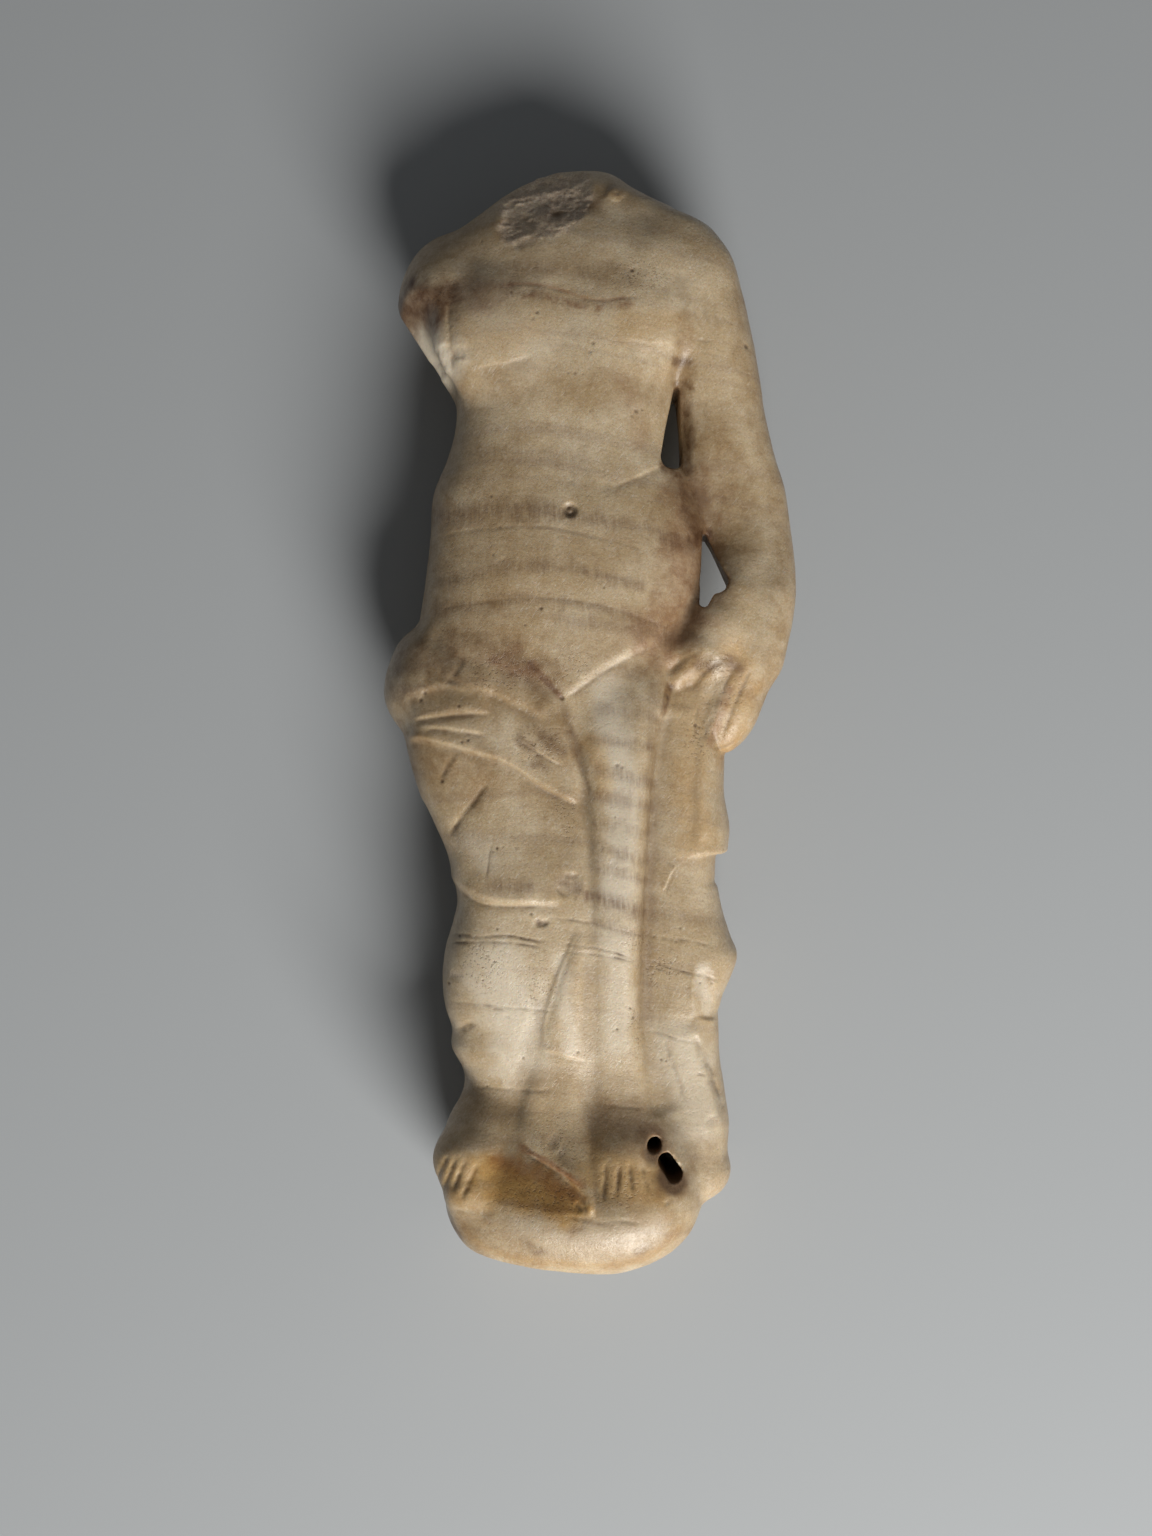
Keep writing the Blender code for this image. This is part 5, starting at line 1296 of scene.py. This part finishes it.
def banded_alabaster():
    """Cream and honey clouds, fine bands, stains, dirt in the cuts and a worn polish, with painted shade on
    the sides, in hollows and in the drab, rust and umber washes, painted highlights in the pale washes and a
    painted glow in the amber under the feet.
    """
    finish = Finish("banded_alabaster")
    even = finish.stretched((1, 1, 1))
    wander = finish.noise(even, 0.35)
    wavy_bed = finish.sum("MULTIPLY_ADD", wander, 1.6, finish.measure("bedding"))
    clouds = finish.noise(even, 0.085, detail=4.0, roughness=0.6, distortion=0.4)
    mottle = finish.noise(even, 0.38, detail=4.0, roughness=0.6, distortion=0.3)
    laminae = finish.line_noise(wavy_bed, 0.42, detail=4.0)
    fine_laminae = finish.line_noise(wavy_bed, 1.7, detail=3.0)
    fibres = finish.noise(finish.stretched((1.9, 0.16, 1.9)), 1.0, roughness=0.6)
    grit = finish.noise(even, 2.6, detail=4.0, roughness=0.65)
    scratches = finish.noise(finish.stretched((0.5, 3.4, 0.5), turn=0.9), 1.0, roughness=0.6)
    scratched = finish.between(scratches, 0.60, 0.70)
    sugar = finish.noise(even, 1.4, detail=5.0, roughness=0.75)
    blotchy = finish.between(mottle, 0.3, 0.65, 0.6, 1.0)
    fibrous = finish.between(fibres, 0.32, 0.6, 0.35, 1.0)
    rock = finish.measure("broken")
    pocked = finish.sum("MAXIMUM", finish.measure("pitted"), 0.16)
    specks = finish.times(finish.between(finish.noise(even, 1.9, detail=2.0), 0.57, 0.66), pocked)
    # Dirt, with painted shade in the hollows and drill holes, broken up by the grit
    grime_and_shade = finish.times(finish.measure("dirt_and_shade"), finish.between(grit, 0.3, 0.65, 0.55, 1.0))

    finish.colour = finish.mix(finish.between(clouds, 0.35, 0.65), (*HONEY, 1), (*CREAM, 1))
    finish.lay(TAN, finish.between(mottle, 0.45, 0.75, 0.0, 0.45))
    finish.lay(BAND, finish.between(laminae, 0.5, 0.72, 0.0, 0.24))
    finish.lay(FINE_BAND, finish.between(fine_laminae, 0.52, 0.75, 0.0, 0.14))
    finish.stain(GRIT, finish.between(grit, 0.38, 0.62, 0.5, 0.0))
    finish.lay(SUGAR, finish.between(sugar, 0.52, 0.72, 0.0, 0.32))
    finish.lay(SCRATCH, finish.times(scratched, 0.3))
    # Pale stone and painted highlights from the pale washes
    finish.lay(PALE_AND_HIGHLIGHT, finish.times(finish.measure("pale_and_highlight"), 0.8))
    # Painted shade on the sides
    finish.stain(SIDE_SHADE, finish.times(finish.measure("side"), 0.5))
    # Painted shade and duller stone in the drab washes
    finish.stain(DRAB_AND_SHADE, finish.times(finish.measure("drab_and_shade"), blotchy))
    # Honey tints, and the painted glow of light through thin stone under the feet
    finish.stain(AMBER_AND_GLOW, finish.measure("amber_and_glow"))
    finish.stain(VIOLET, finish.times(finish.measure("violet"), fibrous))
    # Red-brown stains with painted shade in the rust washes
    finish.stain(RUST_AND_SHADE, finish.times(finish.measure("rust_and_shade"), blotchy))
    # Brown stains with painted shade in the umber washes
    finish.stain(UMBER_AND_SHADE, finish.times(finish.measure("umber_and_shade"), blotchy))
    crystals = finish.mix(finish.between(grit, 0.35, 0.65), (*DARK_CRYSTAL, 1), (*PALE_CRYSTAL, 1))
    finish.colour = finish.mix(finish.times(rock, 0.6), finish.colour, crystals)
    finish.lay(SPECK, finish.times(specks, 0.75))
    # The dirt laid on, with its painted shade
    finish.lay(GRIME_AND_SHADE, grime_and_shade)

    polish = finish.between(mottle, 0.3, 0.7, 0.30, 0.46)
    polish = finish.sum("MULTIPLY_ADD", rock, 0.3, polish)
    polish = finish.sum("MULTIPLY_ADD", grime_and_shade, 0.25, polish)
    rough = finish.noise(even, 1.1, detail=5.0, roughness=0.65)
    height = finish.sum("ADD", rough, finish.times(fibres, 0.35))
    height = finish.sum("MULTIPLY_ADD", specks, -1.2, height)
    height = finish.sum("MULTIPLY_ADD", scratched, -0.3, height)
    bump = finish.nodes.new("ShaderNodeBump")
    finish.give(bump, Height=height, Strength=0.45, Distance=0.0002)

    stone = finish.shader
    finish.give(stone, Base_Color=finish.colour, Roughness=polish, Normal=bump.outputs["Normal"], IOR=1.53)
    finish.give(stone, Subsurface_Weight=0.22, Subsurface_Radius=(1.0, 0.6, 0.3), Subsurface_Scale=0.0025)
    return finish.material


def pale_floor():
    finish = Finish("pale_floor")
    finish.give(finish.shader, Base_Color=(*FLOOR_GREY, 1), Roughness=0.85)
    return finish.material


# Scene


def soft_light(name, place, size, watts, tint):
    """A round lamp that faces the middle of the frame."""
    light = bpy.data.lights.new(name, "AREA")
    light.shape = "DISK"
    light.size = size
    light.energy = watts
    light.color = tint
    lamp = link(name, light)
    lamp.location = place
    lamp.rotation_euler = (Vector((0, 0, 0)) - Vector(place)).to_track_quat("-Z", "Y").to_euler()


def place_camera():
    camera = bpy.data.cameras.new("camera")
    camera.sensor_width = SENSOR_LENGTH
    camera.lens = SENSOR_LENGTH * FOCAL_PIXELS / (2 * PHOTO_MIDDLE[1])
    camera.clip_start = NEAREST_SEEN
    eye = link("camera", camera)
    eye.location = CAMERA_PLACE
    eye.rotation_euler = (0, 0, -PHOTO_TURN)
    bpy.context.scene.camera = eye


def light_the_scene():
    soft_light("key_light", place=(0.34, -0.86, 0.62), size=0.62, watts=15.5, tint=(1.0, 0.97, 0.93))
    world = bpy.data.worlds.new("soft_room")
    world.use_nodes = True
    room = world.node_tree.nodes["Background"]
    room.inputs["Color"].default_value = (*ROOM_TINT, 1)
    room.inputs["Strength"].default_value = ROOM_STRENGTH
    bpy.context.scene.world = world
    bpy.context.scene.view_settings.view_transform = "Standard"


place_camera()
take_up(frame["nodes"]["venus_statuette"])
bpy.ops.mesh.primitive_plane_add(size=FLOOR_SIZE, location=(0, 0, 0))
floor = bpy.context.object
floor.name = "floor"
floor.data.materials.append(pale_floor())

fine_strokes = placed(FINE_STROKES, settings=4)
stains = {colour: placed(rows, settings=2) for colour, rows in STAINS.items()}
pits = placed_spots(PITS)
scoops = placed_spots(SCOOPS)
pitted_spots = placed_spots(PITTED)

statuette = carve_stone()
statuette.data.materials.append(banded_alabaster())
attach(statuette, "root")
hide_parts("venus_statuette")

light_the_scene()
